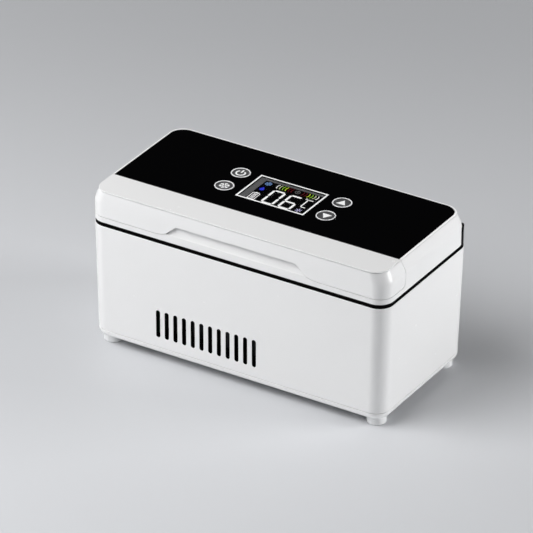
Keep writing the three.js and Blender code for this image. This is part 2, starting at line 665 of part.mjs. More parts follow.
// Front outline of the finger pull: flared feet, sloped sides and a level top edge.
function pullFront() {
  const { low, bendLow, slopeLow, slopeHigh, high, crown } = PULL;
  const slope = (PULL_TOP - VISOR_BOTTOM) / (bendLow - high);
  const lowZ = VISOR_BOTTOM + (bendLow - slopeLow) * slope;
  const highZ = PULL_TOP - crown;
  const shape = new THREE.Shape();
  shape.moveTo(-low, RIM);
  shape.lineTo(low, RIM);
  shape.lineTo(low, VISOR_BOTTOM);
  shape.quadraticCurveTo(bendLow, VISOR_BOTTOM, slopeLow, lowZ);
  shape.lineTo(slopeHigh, highZ);
  shape.quadraticCurveTo(slopeHigh - crown, PULL_TOP, high, PULL_TOP);
  shape.lineTo(-high, PULL_TOP);
  shape.quadraticCurveTo(crown - slopeHigh, PULL_TOP, -slopeHigh, highZ);
  shape.lineTo(-slopeLow, lowZ);
  shape.quadraticCurveTo(-bendLow, VISOR_BOTTOM, -low, VISOR_BOTTOM);
  shape.closePath();
  return shape;
}

// Hollow behind the pull's edge, with a floor that slopes up and inwards.
function pullScoop() {
  const { back, floor, lift, backFoot } = SCOOP;
  const face = -WIDTH / 2;
  const side = new THREE.Shape();
  side.moveTo(face - OVERLAP, floor);
  side.lineTo(face, floor);
  side.quadraticCurveTo(back, floor + lift, back, backFoot);
  side.lineTo(back, PULL_TOP);
  side.lineTo(face - OVERLAP, PULL_TOP);
  side.closePath();
  const front = alongY(pullFront(), -WIDTH, 0, 3);
  return alongX(side, -PULL.low, PULL.low, 4).intersect(front);
}

// Cap that wraps the lid's front edge and both front corners.
function lidVisor() {
  const region = alongX(visorSide(0), -LENGTH, LENGTH, 5);
  const { thickness } = VISOR;
  const skin = lidBlock(LID_BOTTOM, TOP, 0, TOP_EDGE).subtract(lidBlock(0, TOP - thickness, thickness, 0));
  const panelRoom = prism(panelOutline(SLIP), PANEL.bottom - FIT, TOP + OVERLAP, 4);
  return skin.intersect(region).subtract(alongY(pullFront(), -WIDTH, 0, 3)).subtract(panelRoom);
}

const KEYS = [
  ["power", -KEY.x, KEY.rear],
  ["mode", -KEY.x, KEY.front],
  ["up", KEY.x, KEY.rear],
  ["down", KEY.x, KEY.front],
];

function displayCut(grow, z0, z1) {
  const { x, y, halfY } = DISPLAY;
  return box(-x - grow, x + grow, y - halfY - grow, y + halfY + grow, z0, z1);
}

function keyHoles() {
  return union(KEYS.map(([, x, y]) => cylinder(x, y, KEY.hole, LCD.bottom, TOP + OVERLAP)));
}

function screwPlaces() {
  const { x, front, rear } = LID_SCREW;
  return QUARTERS.map(([place, sx, sy]) => [place, sx * x, sy < 0 ? front : rear]);
}

// Room inside the lid, under the deck that carries the panel.
function lidRoom() {
  const { x, deckX, front, rear, corner } = LID_INSIDE;
  return loft([
    ring(x, front, rear, corner, 0),
    ring(x, front, rear, corner, BEND.from),
    ring(deckX, front, rear, corner, DECK.bottom),
  ]);
}

function lidShell() {
  const outer = lidBlock(LID_BOTTOM, TOP, 0, TOP_EDGE);
  const visorIn = VISOR.thickness + SLIP;
  const inner = lidBlock(0, TOP - visorIn, visorIn, 0);
  const visorRoom = alongX(visorSide(SLIP), -LENGTH, LENGTH, 5).subtract(inner);
  const recess = prism(panelOutline(SLIP), DECK.top, TOP + OVERLAP);
  const notch = box(-LENGTH, LENGTH, NOTCH.y, WIDTH, 0, NOTCH.top);
  const lcdWindow = displayCut(FIT - DISPLAY.line, DECK.bottom - OVERLAP, TOP);
  const postTop = DECK.bottom + OVERLAP;
  const bosses = screwPlaces().map(([, x, y]) => cylinder(
    x, y, LID_SCREW.boss, LINER.top + SEAT, postTop, COARSE));
  const bossHoles = screwPlaces().map(([, x, y]) => cylinder(
    x, y, LID_SCREW.shank + SNUG, 0, LID_SCREW.tip + OVERLAP, COARSE));
  const posts = CONTROL_POST.y.flatMap((y) => SIDES.map(([, side]) => cylinder(
    side * CONTROL_POST.x, y, CONTROL_POST.radius, CONTROL.top + SEAT, postTop, COARSE)));
  const pockets = SIDES.map(([, side]) => cylinder(
    side * MAGNET.x, MAGNET.y, MAGNET.radius + SNUG, 0, LID_BOTTOM + MAGNET.height + SEAT));
  const arms = SIDES.map(([, side]) => {
    const [x0, x1] = span(side, KNUCKLE_FROM, KNUCKLE_TO);
    const barrel = cylinderAlongX(HINGE.y, HINGE.z, HINGE.knuckle, x0, x1);
    const web = box(x0, x1, HINGE.y - HINGE.web, LID_REAR - SLIP, HINGE.z, NOTCH.top + OVERLAP);
    return barrel.add(web)
      .subtract(cylinderAlongX(HINGE.y, HINGE.z, HINGE.bore, x0 - OVERLAP, x1 + OVERLAP));
  });
  const carcass = outer.subtract(union([visorRoom, recess, lidRoom(), notch, pullScoop()]));
  return union([carcass, ...bosses, ...posts, ...arms])
    .subtract(union([lcdWindow, keyHoles(), ...bossHoles, ...pockets]));
}

// Panel outline: square front corners against the visor, rounded rear corners.
function panelOutline(grow) {
  const { x, front, rear, corner } = PANEL;
  const shape = new THREE.Shape();
  shape.moveTo(-x - grow, front - grow);
  shape.lineTo(x + grow, front - grow);
  shape.absarc(x + grow - corner, rear + grow - corner, corner, 0, Math.PI / 2);
  shape.absarc(corner - x - grow, rear + grow - corner, corner, Math.PI / 2, Math.PI);
  shape.closePath();
  return shape;
}

function topPanel() {
  return prism(panelOutline(0), PANEL.bottom, TOP, 4)
    .subtract(displayCut(SNUG, 0, TOP + OVERLAP)).subtract(keyHoles());
}

function displayBezel() {
  return displayCut(0, PANEL.bottom, TOP).subtract(displayCut(-DISPLAY.line, 0, TOP + OVERLAP));
}

function displayLens() {
  return displayCut(-DISPLAY.line - SNUG, PANEL.bottom + SEAT, TOP - DISPLAY.lensDrop);
}

function lcdModule() {
  const { x, halfY, bottom, shoulder, top } = LCD;
  const body = box(-x, x, DISPLAY.y - halfY, DISPLAY.y + halfY, bottom, shoulder);
  return body.add(displayCut(-DISPLAY.line, shoulder - OVERLAP, top));
}

// Heights at which the keys' flanges rest, a little under the deck, and at which the switches stand.
const KEY_SEAT = DECK.bottom - FIT;
const SWITCH_SEAT = CONTROL.top + SEAT;

// Key with a raised ring round a shallow dish, a flange that stops it under the deck, and a stem down to its
// switch. The top of the flange is level with its origin.
function key() {
  const { radius } = KEY;
  const { edge, width, dish } = KEY_RING;
  const { flange, flangeHeight, stem, stemGap } = KEY_UNDER;
  const top = KEY.top - KEY_SEAT;
  const stemEnd = SWITCH.wellBottom + stemGap - KEY_SEAT;
  return turned([[0, stemEnd], [stem, stemEnd], [stem, -flangeHeight], [flange, -flangeHeight], [flange, 0],
    [radius, 0], [radius, top - edge], [radius - edge, top], [radius - width, top],
    [radius - width - SLIP, top - dish], [0, top - dish]]);
}

// Switch that stands on the control board at its own origin, with a well for the key's stem.
function keySwitch() {
  const { half, top, well, wellBottom } = SWITCH;
  return box(-half, half, -half, half, 0, top - SWITCH_SEAT)
    .subtract(cylinder(0, 0, well, wellBottom - SWITCH_SEAT, TOP));
}

// Board under the deck with its controller chip and the header for the lead to the body.
function controlBoard() {
  const { x, front, rear, bottom, top } = CONTROL;
  return union([box(-x, x, front, rear, bottom, top), ...blocksOn(CONTROL_BLOCKS, bottom, top)]);
}

// Slab over the lid liner with a part that fills the plug.
function lidInsulation() {
  const { x, front, rear, top } = LID_FOAM;
  const gap = PLUG.skin + FIT;
  const [fillX, fillY] = [PLUG.x - gap, PLUG.y - gap];
  const slab = plate(x, front, rear, PLUG.innerCorner, LINER.top + SEAT, top);
  const fillBottom = PLUG.bottom + PLUG.skin + SEAT;
  return slab.add(plate(fillX, -fillY, fillY, PLUG.innerCorner, fillBottom, LINER.top + OVERLAP));
}

// Inner cover of the lid: a plate with a hollow plug that enters the chamber mouth.
function lidLiner() {
  const { x, front, rear, top, corner } = LINER;
  const { skin, bottom, innerCorner } = PLUG;
  const cover = plate(x, front, rear, corner, LID_BOTTOM, top);
  const plug = plate(PLUG.x, -PLUG.y, PLUG.y, CHAMBER.corner, bottom, top);
  const hollow = plate(PLUG.x - skin, skin - PLUG.y, PLUG.y - skin, innerCorner, bottom + skin, TOP);
  const sinkTop = LID_BOTTOM + LID_SCREW.headHeight;
  const holes = screwPlaces().map(([, sx, sy]) => cylinder(sx, sy, LID_SCREW.head + FIT, 0, sinkTop, COARSE)
    .add(cylinder(sx, sy, LID_SCREW.shank + FIT, 0, TOP, COARSE)));
  return cover.add(plug).subtract(hollow).subtract(union(holes));
}

// Soft ring that meets the collar round the chamber mouth.
function lidGasket() {
  const { x, y, width, corner, bottom } = GASKET;
  const outer = plate(x, -y, y, corner, bottom, LID_BOTTOM - SEAT);
  return outer.subtract(plate(x - width, width - y, y - width, corner - width, 0, TOP));
}

function material(color, roughness, metalness) {
  return new THREE.MeshStandardMaterial({ color, roughness, metalness });
}

const WHITE = material(0xe8e8e6, 0.32, 0);
const BLACK_GLOSS = material(0x08080a, 0.08, 0);
const BLACK = material(0x16171a, 0.5, 0);
const CLEAR = material(0xdfe4e6, 0.15, 0);
const TRIM_WHITE = material(0xf2f2f2, 0.4, 0);
const KEY_GREY = material(0x55575a, 0.4, 0);
const SCREEN = material(0x0c0f14, 0.1, 0);
const ALUMINIUM = material(0xc9ccd0, 0.35, 1);
const STEEL = material(0xb8babd, 0.3, 1);
const FOAM_WHITE = material(0xf4f2ec, 0.9, 0);
const ANODISED = material(0x17181a, 0.55, 0.6);
const CERAMIC = material(0xf0efe9, 0.6, 0);
const BOARD_GREEN = material(0x1d6b3c, 0.5, 0);
const CELL_BLUE = material(0x2a63a8, 0.35, 0);
const SILICONE = material(0x8d9196, 0.7, 0);

function geometryOf(shape) {
  const { vertProperties, triVerts } = shape.getMesh();
  const geometry = new THREE.BufferGeometry();
  geometry.setAttribute("position", new THREE.BufferAttribute(new Float32Array(vertProperties), 3));
  geometry.setIndex(new THREE.BufferAttribute(new Uint32Array(triVerts), 1));
  return geometry;
}

function meshOf(name, finish, geometry) {
  const mesh = new THREE.Mesh(geometry, finish);
  mesh.name = name;
  return mesh;
}

// Adds single pieces, each given as its name, its material and its shape.
function addPieces(group, pieces) {
  pieces.forEach(([name, finish, shape]) => group.add(meshOf(name, finish, geometryOf(shape))));
}

// Adds copies of one shape, each with its name and its place. Returns their meshes.
function addCopies(group, prefix, finish, shape, places) {
  const geometry = geometryOf(shape);
  return places.map(([place, x, y, z]) => {
    const mesh = meshOf(`${prefix}_${place}`, finish, geometry);
    mesh.position.set(x, y, z);
    group.add(mesh);
    return mesh;
  });
}

function quarterPlaces({ x, y }, z) {
  return QUARTERS.map(([place, sx, sy]) => [place, sx * x, sy * y, z]);
}

function magnetPlaces(z) {
  return SIDES.map(([place, side]) => [place, side * MAGNET.x, MAGNET.y, z]);
}

// Fan, heat sink, thermoelectric module and cold block on one vertical axis.
function coolingStack() {
  const stack = new THREE.Group();
  stack.position.x = STACK_X;
  addPieces(stack, [
    ["cold_block", ALUMINIUM, coldBlock()],
    ["peltier_module", CERAMIC, peltierModule()],
    ["heat_sink", ANODISED, heatSink()],
    ["fan_frame", BLACK, fanFrame()],
    ["fan_rotor", BLACK, fanRotor()],
  ]);
  return stack;
}

// Three cells that lie side by side in their cradle, with their raised ends to the right.
function batteryPack() {
  const pack = new THREE.Group();
  addPieces(pack, [["battery_cradle", BLACK, batteryCradle()]]);
  const rows = CELL_ROWS.map(([place, row]) => [place, CELL.fromX, row * CELL.pitch, CELL.z]);
  addCopies(pack, "battery_cell", CELL_BLUE, batteryCell(), rows).forEach((cell) => {
    cell.rotation.y = Math.PI / 2;
  });
  return pack;
}

function body() {
  const group = new THREE.Group();
  addPieces(group, [
    ["body_shell", WHITE, bodyShell()],
    ["base_cover", WHITE, baseCover()],
    ["hinge_frame", BLACK, hingeFrame()],
    ["chamber_collar", WHITE, chamberCollar()],
    ["cold_liner", ALUMINIUM, coldLiner()],
    ["insulation_tub", FOAM_WHITE, insulationTub()],
    ["temperature_sensor", BLACK, temperatureSensor()],
    ["main_board", BOARD_GREEN, mainBoard()],
    ["dc_jack", BLACK, dcJack()],
  ]);
  addCopies(group, "foot", CLEAR, foot(), quarterPlaces(FOOT, 0));
  const screwZ = FOOT_TOP + FIT;
  const { head, shank, tip } = BASE_SCREW;
  const baseScrew = panScrew(head, FLOOR - SEAT - screwZ, shank, tip - screwZ);
  addCopies(group, "base_screw", STEEL, baseScrew, quarterPlaces(BASE_SCREW, screwZ));
  addCopies(group, "frame_magnet", STEEL, magnet(), magnetPlaces(FRAME_TOP - MAGNET.height));
  const pinX = (PIN_FROM + PIN_TO) / 2;
  const pinPlaces = SIDES.map(([place, side]) => [place, side * pinX, HINGE.y, HINGE.z]);
  addCopies(group, "hinge_pin", STEEL, hingePin(), pinPlaces).forEach((pin) => {
    pin.rotation.z = Math.PI / 2;
  });
  group.add(coolingStack(), batteryPack());
  return group;
}

// Keys with the switches and the board under them.
function keypad() {
  const group = new THREE.Group();
  addPieces(group, [["control_board", BOARD_GREEN, controlBoard()]]);
  addCopies(group, "key", KEY_GREY, key(), KEYS.map(([place, x, y]) => [place, x, y, KEY_SEAT]));
  addCopies(group, "key_switch", BLACK, keySwitch(), KEYS.map(([place, x, y]) => [place, x, y, SWITCH_SEAT]));
  return group;
}

// The lid's group turns about the hinge axis. The parts inside it keep the case's own frame.
function lid() {
  const parts = new THREE.Group();
  parts.position.set(0, -HINGE.y, -HINGE.z);
  addPieces(parts, [
    ["lid_shell", WHITE, lidShell()],
    ["lid_visor", WHITE, lidVisor()],
    ["top_panel", BLACK_GLOSS, topPanel()],
    ["display_bezel", TRIM_WHITE, displayBezel()],
    ["display_lens", SCREEN, displayLens()],
    ["lcd_module", SCREEN, lcdModule()],
    ["lid_insulation", FOAM_WHITE, lidInsulation()],
    ["lid_liner", WHITE, lidLiner()],
    ["lid_gasket", SILICONE, lidGasket()],
  ]);
  const screwZ = LID_BOTTOM - SEAT;
  const { head, headHeight, shank, tip } = LID_SCREW;
  const lidScrew = panScrew(head, headHeight, shank, tip - screwZ);
  addCopies(parts, "lid_screw", STEEL, lidScrew, screwPlaces().map(([place, x, y]) => [place, x, y, screwZ]));
  addCopies(parts, "lid_magnet", STEEL, magnet(), magnetPlaces(LID_BOTTOM));
  parts.add(keypad());
  const group = new THREE.Group();
  group.position.set(0, HINGE.y, HINGE.z);
  group.add(parts);
  return group;
}

const model = new THREE.Group();
model.add(body(), lid());

export default model;
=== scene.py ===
"""Cooling case for insulin pens: finished shells, panel, keys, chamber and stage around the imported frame."""

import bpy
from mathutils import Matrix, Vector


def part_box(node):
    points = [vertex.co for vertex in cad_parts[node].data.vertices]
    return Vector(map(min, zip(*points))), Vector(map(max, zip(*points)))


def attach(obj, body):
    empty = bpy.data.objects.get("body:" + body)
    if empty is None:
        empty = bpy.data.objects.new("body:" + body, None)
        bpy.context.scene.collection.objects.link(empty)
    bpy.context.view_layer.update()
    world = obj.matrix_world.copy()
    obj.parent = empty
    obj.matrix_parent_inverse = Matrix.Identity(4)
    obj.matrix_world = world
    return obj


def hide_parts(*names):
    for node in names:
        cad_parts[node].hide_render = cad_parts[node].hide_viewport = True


bl_info = {
    "name": "Cooling Case",
    "version": (1, 0, 0),
    "blender": (4, 5, 0),
    "location": "View3D > Sidebar > Cooling Case",
    "description": "Builds the finished surfaces of a small thermoelectric cooling case",
    "category": "Add Mesh",
}

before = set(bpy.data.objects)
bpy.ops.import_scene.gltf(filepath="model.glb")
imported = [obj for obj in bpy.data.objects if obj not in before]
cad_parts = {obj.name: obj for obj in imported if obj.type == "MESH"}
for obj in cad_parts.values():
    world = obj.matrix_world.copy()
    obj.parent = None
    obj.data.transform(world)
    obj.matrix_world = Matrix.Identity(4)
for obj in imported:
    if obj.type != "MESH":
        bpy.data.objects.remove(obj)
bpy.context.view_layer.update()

import math

import bmesh
import bpy
from bpy.props import FloatProperty, FloatVectorProperty, IntProperty, PointerProperty
from mathutils import Matrix, Vector

MM = 0.001


def box_mm(node):
    """Lowest and highest corner of a node of the frame, in millimetres."""
    low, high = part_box(node)
    return low / MM, high / MM


# Outer form, in millimetres. The main heights come from the solids of the frame
SHELL_LOW, SHELL_HIGH = box_mm("body_shell")
PANEL_LOW, PANEL_HIGH = box_mm("top_panel")
LENGTH = 2 * SHELL_HIGH.x
WIDTH = 2 * SHELL_HIGH.y
FOOT_TOP = box_mm("base_cover")[0].z
BASE_SEAM = SHELL_LOW.z
BASE_TOP = 9.4
RIM = SHELL_HIGH.z
FRAME_TOP = 82.0
LID_BOTTOM = box_mm("lid_shell")[0].z
VISOR_BOTTOM = box_mm("lid_visor")[0].z
PULL_TOP = 93.7
TOP = PANEL_HIGH.z

# Lean of the body's walls per millimetre of height, their thickness, and the gaps between parts that meet
DRAFT = 0.0197
WALL = 2.4
SEAM = 0.35
FIT = 0.3
SLIP = 0.2
PLAY = 0.15
GAP = 0.1

# Base tray: rounded lower edge, floor, lip inside the shell, screw towers and feet
BASE_ROUND_IN = 3.0
FLOOR = 7.4
LIP = 1.2
LIP_TOP = BASE_SEAM + 2.4
BASE_SCREW = {"x": 70.0, "y": 41.2, "head": 2.9, "shank": 1.1, "tower": 3.4, "top": 7.3, "tip": 22.0}
FOOT = {"x": 90.0, "y": 38.3, "radius": 5.9, "edge": 0.7, "seat_edge": 0.3, "stub": 2.4, "stub_top": 9.0}

# Cross recess of the screws: half width of an arm, its reach as a share of the head, and its depth
RECESS = {"arm": 0.38, "reach": 0.62, "depth": 0.9, "head_edge": 0.4}

# Air slots
VENT = {"first_x": -52.9, "bottom": 16.2, "top": 34.4, "lip": 0.15, "skin": 1.2, "margin": 3.2}
INTAKE = {"x": -20.0, "each_side": 4, "pitch": 4.2, "half": 1.1, "reach": 17.6}
JACK_HOLE = {"x": -83.0, "z": 19.2, "radius": 4.1}

# Hinge frame with its rear bar
FRAME = {"inset": 0.25, "edge": 0.2, "inner_x": 92.0, "inner_front": -40.0, "inner_rear": 40.3,
         "inner_corner": 5.0}
SKIRT = {"depth": 4.0, "thickness": 1.4}
HINGE = {"y": 44.8, "z": 89.0, "bar": 3.95, "knuckle": 3.85, "web": 2.8, "bore": 1.32}
KNUCKLE_FROM, KNUCKLE_TO = 22.7, 61.3
PIN_FROM, PIN_TO = 6.0, 80.0
MAGNET = {"x": 60.0, "y": -44.2, "radius": 3.0, "height": 1.5, "edge": 0.25}

# Lid form
LID_REAR = 45.8
BEND = {"start": 93.2, "end": 96.2, "end_in": 2.8, "rear_in": 1.5}
TOP_LIP = {"height": 0.5, "round": 0.2, "groove": 0.45, "depth": 0.9, "setback": 0.25}
NOTCH = {"y": 39.2, "top": 93.5}
DECK = {"bottom": 99.5, "top": 101.3}
LID_INSIDE = {"x": 97.2, "deck_x": 94.6, "front": -40.5, "rear": 37.9, "corner": 4.0}
VISOR = {"thickness": 2.0, "seam_top": -27.5, "seam_mid": -25.8, "seam_low": -26.4, "corner": 3.0}
PULL = {"low": 55.5, "bend_low": 48.6, "knee": 45.8, "bend_high": 40.3, "high": 38.3, "crown": 1.1}
SCOOP = {"brink": 87.2, "foot_y": -48.2, "foot_z": 86.7, "back": -46.3}

# Top panel, display and keys
PANEL = {"x": PANEL_HIGH.x, "front": PANEL_LOW.y, "rear": PANEL_HIGH.y, "bottom": PANEL_LOW.z, "corner": 9.0,
         "edge": 0.2}
DISPLAY = {"x": 23.0, "y": 3.0, "half_y": 14.8, "line": 1.1, "lens_drop": 0.2}
LCD = {"x": 25.0, "half_y": 17.0, "bottom": 94.2, "shoulder": 99.3, "top": 101.3}
KEY = {"x": 34.4, "rear": 13.4, "front": -5.1, "radius": 5.9, "hole": 6.15, "top": 103.3}
KEY_UNDER = {"flange": 6.8, "flange_top": 99.2, "flange_height": 1.1, "stem": 1.7, "stem_end": 95.4}

# Chamber, its collar and the lid's underside
CHAMBER = {"x": 87.5, "y": 27.0, "floor": 44.3, "sheet": 1.2, "bend": 2.4, "corner": 4.0, "flange": 3.2,
           "top": 78.2, "lip": 0.4, "lip_round": 0.12}
COLLAR = {"x": 95.2, "y": 44.2, "corner": 5.5, "edge": 0.3, "bottom": 78.3, "top": 79.6, "open_x": 86.4,
          "open_y": 26.4}
LINER = {"x": 96.9, "front": -40.2, "rear": 37.6, "top": 84.3, "corner": 3.6, "edge": 0.25}
PLUG = {"x": 85.4, "y": 25.2, "bottom": 77.2, "skin": 2.0, "edge": 1.2, "hollow_corner": 3.0}
GASKET = {"x": 91.2, "y": 30.2, "width": 3.0, "corner": 7.0, "bottom": 79.7, "edge": 1.3}
LID_SCREW = {"x": 80.0, "front": -34.5, "rear": 34.0, "head": 2.7, "head_height": 1.2, "shank": 1.0,
             "tip": 90.0}
LID_BOSS = 3.2

# Ends of the names of parts that come in fours and in pairs
CORNERS = ("front_left", "front_right", "rear_left", "rear_right")
SIDES = ("left", "right")

# Facets: quarter corners, small edge rounds, full turns, curves, the lid's bend and the tub's bend
CORNER_STEPS = 14
EDGE_STEPS = 4
TURN_STEPS = 64
CURVE_STEPS = 10
BEND_STEPS = 8
TUB_STEPS = 6

# Reach of a cutter past the faces that it cuts, and the share of a normal from which a face looks to an axis
OVERLAP = 1.0
FACING = 0.5

# Metres within which points are one, millimetres that keep a short side open, and degrees of a crease
MERGE = 1e-7
SLIVER = 0.001
CREASE = 32.0


def length_property(name, description, default):
    """Length that a user can change. Its default is given in millimetres."""
    return FloatProperty(name=name, description=description, default=default * MM, unit="LENGTH")


class CaseSizes(bpy.types.PropertyGroup):
    """Sizes of the finished surfaces."""

    corner: length_property("Corner radius", "Radius of the upright corners of body and lid", 9.5)
    edge: length_property("Edge round", "Radius of the small rounds on moulded edges", 0.35)
    slot_pitch: length_property("Slot pitch", "Distance from one air slot to the next", 5.96)
    slot_width: length_property("Slot width", "Width of one air slot", 2.75)
    slot_count: IntProperty(
        name="Slots", description="Air slots in the front wall and in the rear wall", default=12, min=1)
    number: IntProperty(
        name="Number shown", description="Temperature on the display, two digits", default=6, min=0, max=99)


def colour_property(name, description, default):
    """Colour that a user can change, written as linear red, green and blue."""
    return FloatVectorProperty(
        name=name, description=description, subtype="COLOR", size=3, min=0.0, max=1.0, default=default)


class CaseColours(bpy.types.PropertyGroup):
    """Colours of the finishes."""

    shell: colour_property("Shell", "Glossy white moulding", (0.80, 0.80, 0.80))
    panel: colour_property("Panel", "Black top panel", (0.0012, 0.0012, 0.0014))
    rim: colour_property("Hinge frame", "Black frame between body and lid", (0.002, 0.002, 0.0023))
    # Painted highlight: the lid's top lip round the panel is whiter than the shell, standing in for the light
    # that its edge catches
    edge: colour_property("Top edge", "Bright edge of the lid round the panel", (0.98, 0.98, 0.98))
    trim: colour_property("Display line", "White line round the display", (0.97, 0.97, 0.97))
    # Glow of the display border: partly the backlight's bleed, partly painted light in place of lamplight
    # reaching it through the window
    border: colour_property("Display border", "Faint grey glow beside the lit field", (0.115, 0.115, 0.118))
    key_face: colour_property("Key face", "Dark face of the keys", (0.085, 0.085, 0.088))
    key_ring: colour_property("Key ring", "Pale ring round each key", (0.88, 0.88, 0.89))
    key_sign: colour_property("Key sign", "White sign on each key", (0.97, 0.97, 0.97))
    foot: colour_property("Feet", "Milky clear plastic feet", (0.95, 0.955, 0.96))
    seal: colour_property("Seal", "Silicone ring under the lid", (0.34, 0.35, 0.36))


def sizes():
    """Sizes that a user can change."""
    return bpy.context.scene.case_sizes


def colours():
    """Colours that a user can change."""
    return bpy.context.scene.case_colours


def length(key):
    """One of the lengths that a user can change, in millimetres."""
    return getattr(sizes(), key) / MM


def pick(table, *keys):
    """Some of the values of a table."""
    return [table[key] for key in keys]


# Meshes

def new_object(name, data):
    """New object in the scene that holds a mesh, a lamp or a camera."""
    made = bpy.data.objects.new(name, data)
    bpy.context.scene.collection.objects.link(made)
    return made


def mesh_object(name, bm):
    """Object at the origin that holds the mesh, with its faces turned outwards."""
    bmesh.ops.remove_doubles(bm, verts=bm.verts, dist=MERGE)
    bmesh.ops.recalc_face_normals(bm, faces=bm.faces)
    mesh = bpy.data.meshes.new(name)
    bm.to_mesh(mesh)
    bm.free()
    return new_object(name, mesh)


def loft(name, loops, around=False):
    """Closed mesh through loops of equal point count. Around joins the last loop to the first."""
    bm = bmesh.new()
    rows = [[bm.verts.new(Vector(point) * MM) for point in loop] for loop in loops]
    pairs = list(zip(rows, rows[1:]))
    if around:
        pairs.append((rows[-1], rows[0]))
    for low, high in pairs:
        for j in range(len(low)):
            k = (j + 1) % len(low)
            bm.faces.new((low[j], low[k], high[k], high[j]))
    if not around:
        bm.faces.new(list(reversed(rows[0])))
        bm.faces.new(rows[-1])
    return mesh_object(name, bm)


def turned(name, profile, x=0.0, y=0.0, steps=TURN_STEPS, finishes=None):
    """Profile of (radius, height) pairs, from the axis to the axis, turned about a vertical line.
    Finishes gives each stretch of the profile its material index."""
    bm = bmesh.new()
    angles = [2 * math.pi * i / steps for i in range(steps)]
    rows = []
    for radius, z in profile:
        if radius == 0:
            rows.append([bm.verts.new(Vector((x, y, z)) * MM)])
        else:
            rows.append([bm.verts.new(Vector((x + radius * math.cos(a), y + radius * math.sin(a), z)) * MM)
                         for a in angles])
    for index, (low, high) in enumerate(zip(rows, rows[1:])):
        for j in range(steps):
            k = (j + 1) % steps
            corners = [low[0]] if len(low) == 1 else [low[j], low[k]]
            corners += [high[0]] if len(high) == 1 else [high[k], high[j]]
            face = bm.faces.new(corners)
            face.material_index = finishes[index] if finishes else 0
    return mesh_object(name, bm)


def ring(half_x, y0, y1, radius, z, steps=CORNER_STEPS):
    """Level rounded rectangle as a loop of points, counter-clockwise from above."""
    centres = ((half_x - radius, y0 + radius), (half_x - radius, y1 - radius),
               (radius - half_x, y1 - radius), (radius - half_x, y0 + radius))
    points = []
    for turn, (x, y) in enumerate(centres):
        for i in range(steps + 1):
            angle = (turn - 1 + i / steps) * math.pi / 2
            points.append((x + radius * math.cos(angle), y + radius * math.sin(angle), z))
    return points


def centred_ring(half_x, half_y, radius, inset, z):
    """Level rounded rectangle about the middle, inset on all sides."""
    return ring(half_x - inset, inset - half_y, half_y - inset, radius - inset, z)


def quarter(steps=EDGE_STEPS):
    """Angles of a quarter turn."""
    return [i / steps * math.pi / 2 for i in range(steps + 1)]


def lower_round(z, radius):
    """(inset, height) pairs round a lower outer edge, from the underside to the side."""
    return [(radius * (1 - math.sin(a)), z + radius * (1 - math.cos(a))) for a in quarter()]


def upper_round(z, radius):
    """(inset, height) pairs round an upper outer edge, from the side to the top."""
    return [(radius * (1 - math.cos(a)), z - radius * (1 - math.sin(a))) for a in quarter()]


def plate(name, half_x, y0, y1, radius, z0, z1, soft=0.0):
    """Rounded rectangle pulled up from z0 to z1, with softened edges if asked."""
    section = lower_round(z0, soft) + upper_round(z1, soft) if soft else [(0.0, z0), (0.0, z1)]
    return loft(name, [ring(half_x - i, y0 + i, y1 - i, radius - i, z) for i, z in section])


def block(name, x0, x1, y0, y1, z0, z1):
    """Square block between two corners."""
    square = ((x0, y0), (x1, y0), (x1, y1), (x0, y1))
    return loft(name, [[(x, y, z) for x, y in square] for z in (z0, z1)])


def along_x(name, side, x0, x1):
    """Side outline of (y, z) points pulled along X."""
    return loft(name, [[(x, y, z) for y, z in side] for x in (x0, x1)])


def along_y(name, front, y0, y1):
    """Front outline of (x, z) points pulled along Y."""
    return loft(name, [[(x, y, z) for x, z in front] for y in (y0, y1)])


def rod(name, centre, radius, start, end, axis):
    """Round bar along X or Y, its centre given in the two other directions."""
    angles = [2 * math.pi * i / TURN_STEPS for i in range(TURN_STEPS)]
    circle = [(centre[0] + radius * math.cos(a), centre[1] + radius * math.sin(a)) for a in angles]
    return along_x(name, circle, start, end) if axis == "X" else along_y(name, circle, start, end)


def post(name, x, y, radius, z0, z1):
    """Upright round bar."""
    return turned(name, [(0, z0), (radius, z0), (radius, z1), (0, z1)], x, y)


def bow(start, pull, end):
    """Points of a curve from start to end drawn towards one pull point, without the first."""
    points = []
    for i in range(1, CURVE_STEPS + 1):
        t = i / CURVE_STEPS
        points.append(tuple((1 - t) ** 2 * a + 2 * t * (1 - t) * b + t * t * c
                            for a, b, c in zip(start, pull, end)))
    return points


def bake(made):
    """Turns the object's modifiers into a plain mesh."""
    graph = bpy.context.evaluated_depsgraph_get()
    mesh = bpy.data.meshes.new_from_object(
        made.evaluated_get(graph), preserve_all_data_layers=True, depsgraph=graph)
    before = made.data
    made.modifiers.clear()
    made.data = mesh
    bpy.data.meshes.remove(before)
    return made


def combine(made, operation, *tools):
    """Joins the tools to the object, cuts them from it, or keeps what they share."""
    for tool in tools:
        step = made.modifiers.new(operation, "BOOLEAN")
        step.operation = operation
        step.solver = "EXACT"
        step.object = tool
    bake(made)
    if not made.data.polygons:
        raise RuntimeError(made.name + " has no faces left after " + operation)
    for tool in tools:
        bpy.data.meshes.remove(tool.data)
    return made


def cut(made, *tools):
    """Cuts the tools from the object."""
    return combine(made, "DIFFERENCE", *tools)


def join(made, *tools):
    """Joins the tools to the object."""
    return combine(made, "UNION", *tools)


def keep(made, *tools):
    """Keeps what the object shares with the tools."""
    return combine(made, "INTERSECT", *tools)


def second_finish(made, test):
    """Gives the second finish to the faces for which the test holds."""
    for face in made.data.polygons:
        if test(face):
            face.material_index = 1
    return made


def shade(made):
    """Smooth faces, with creases where they turn sharply and normals weighted to the large faces."""
    made.data.polygons.foreach_set("use_smooth", [True] * len(made.data.polygons))
    made.data.set_sharp_from_angle(angle=math.radians(CREASE))
    step = made.modifiers.new("normals", "WEIGHTED_NORMAL")
    step.keep_sharp = True
    return bake(made)


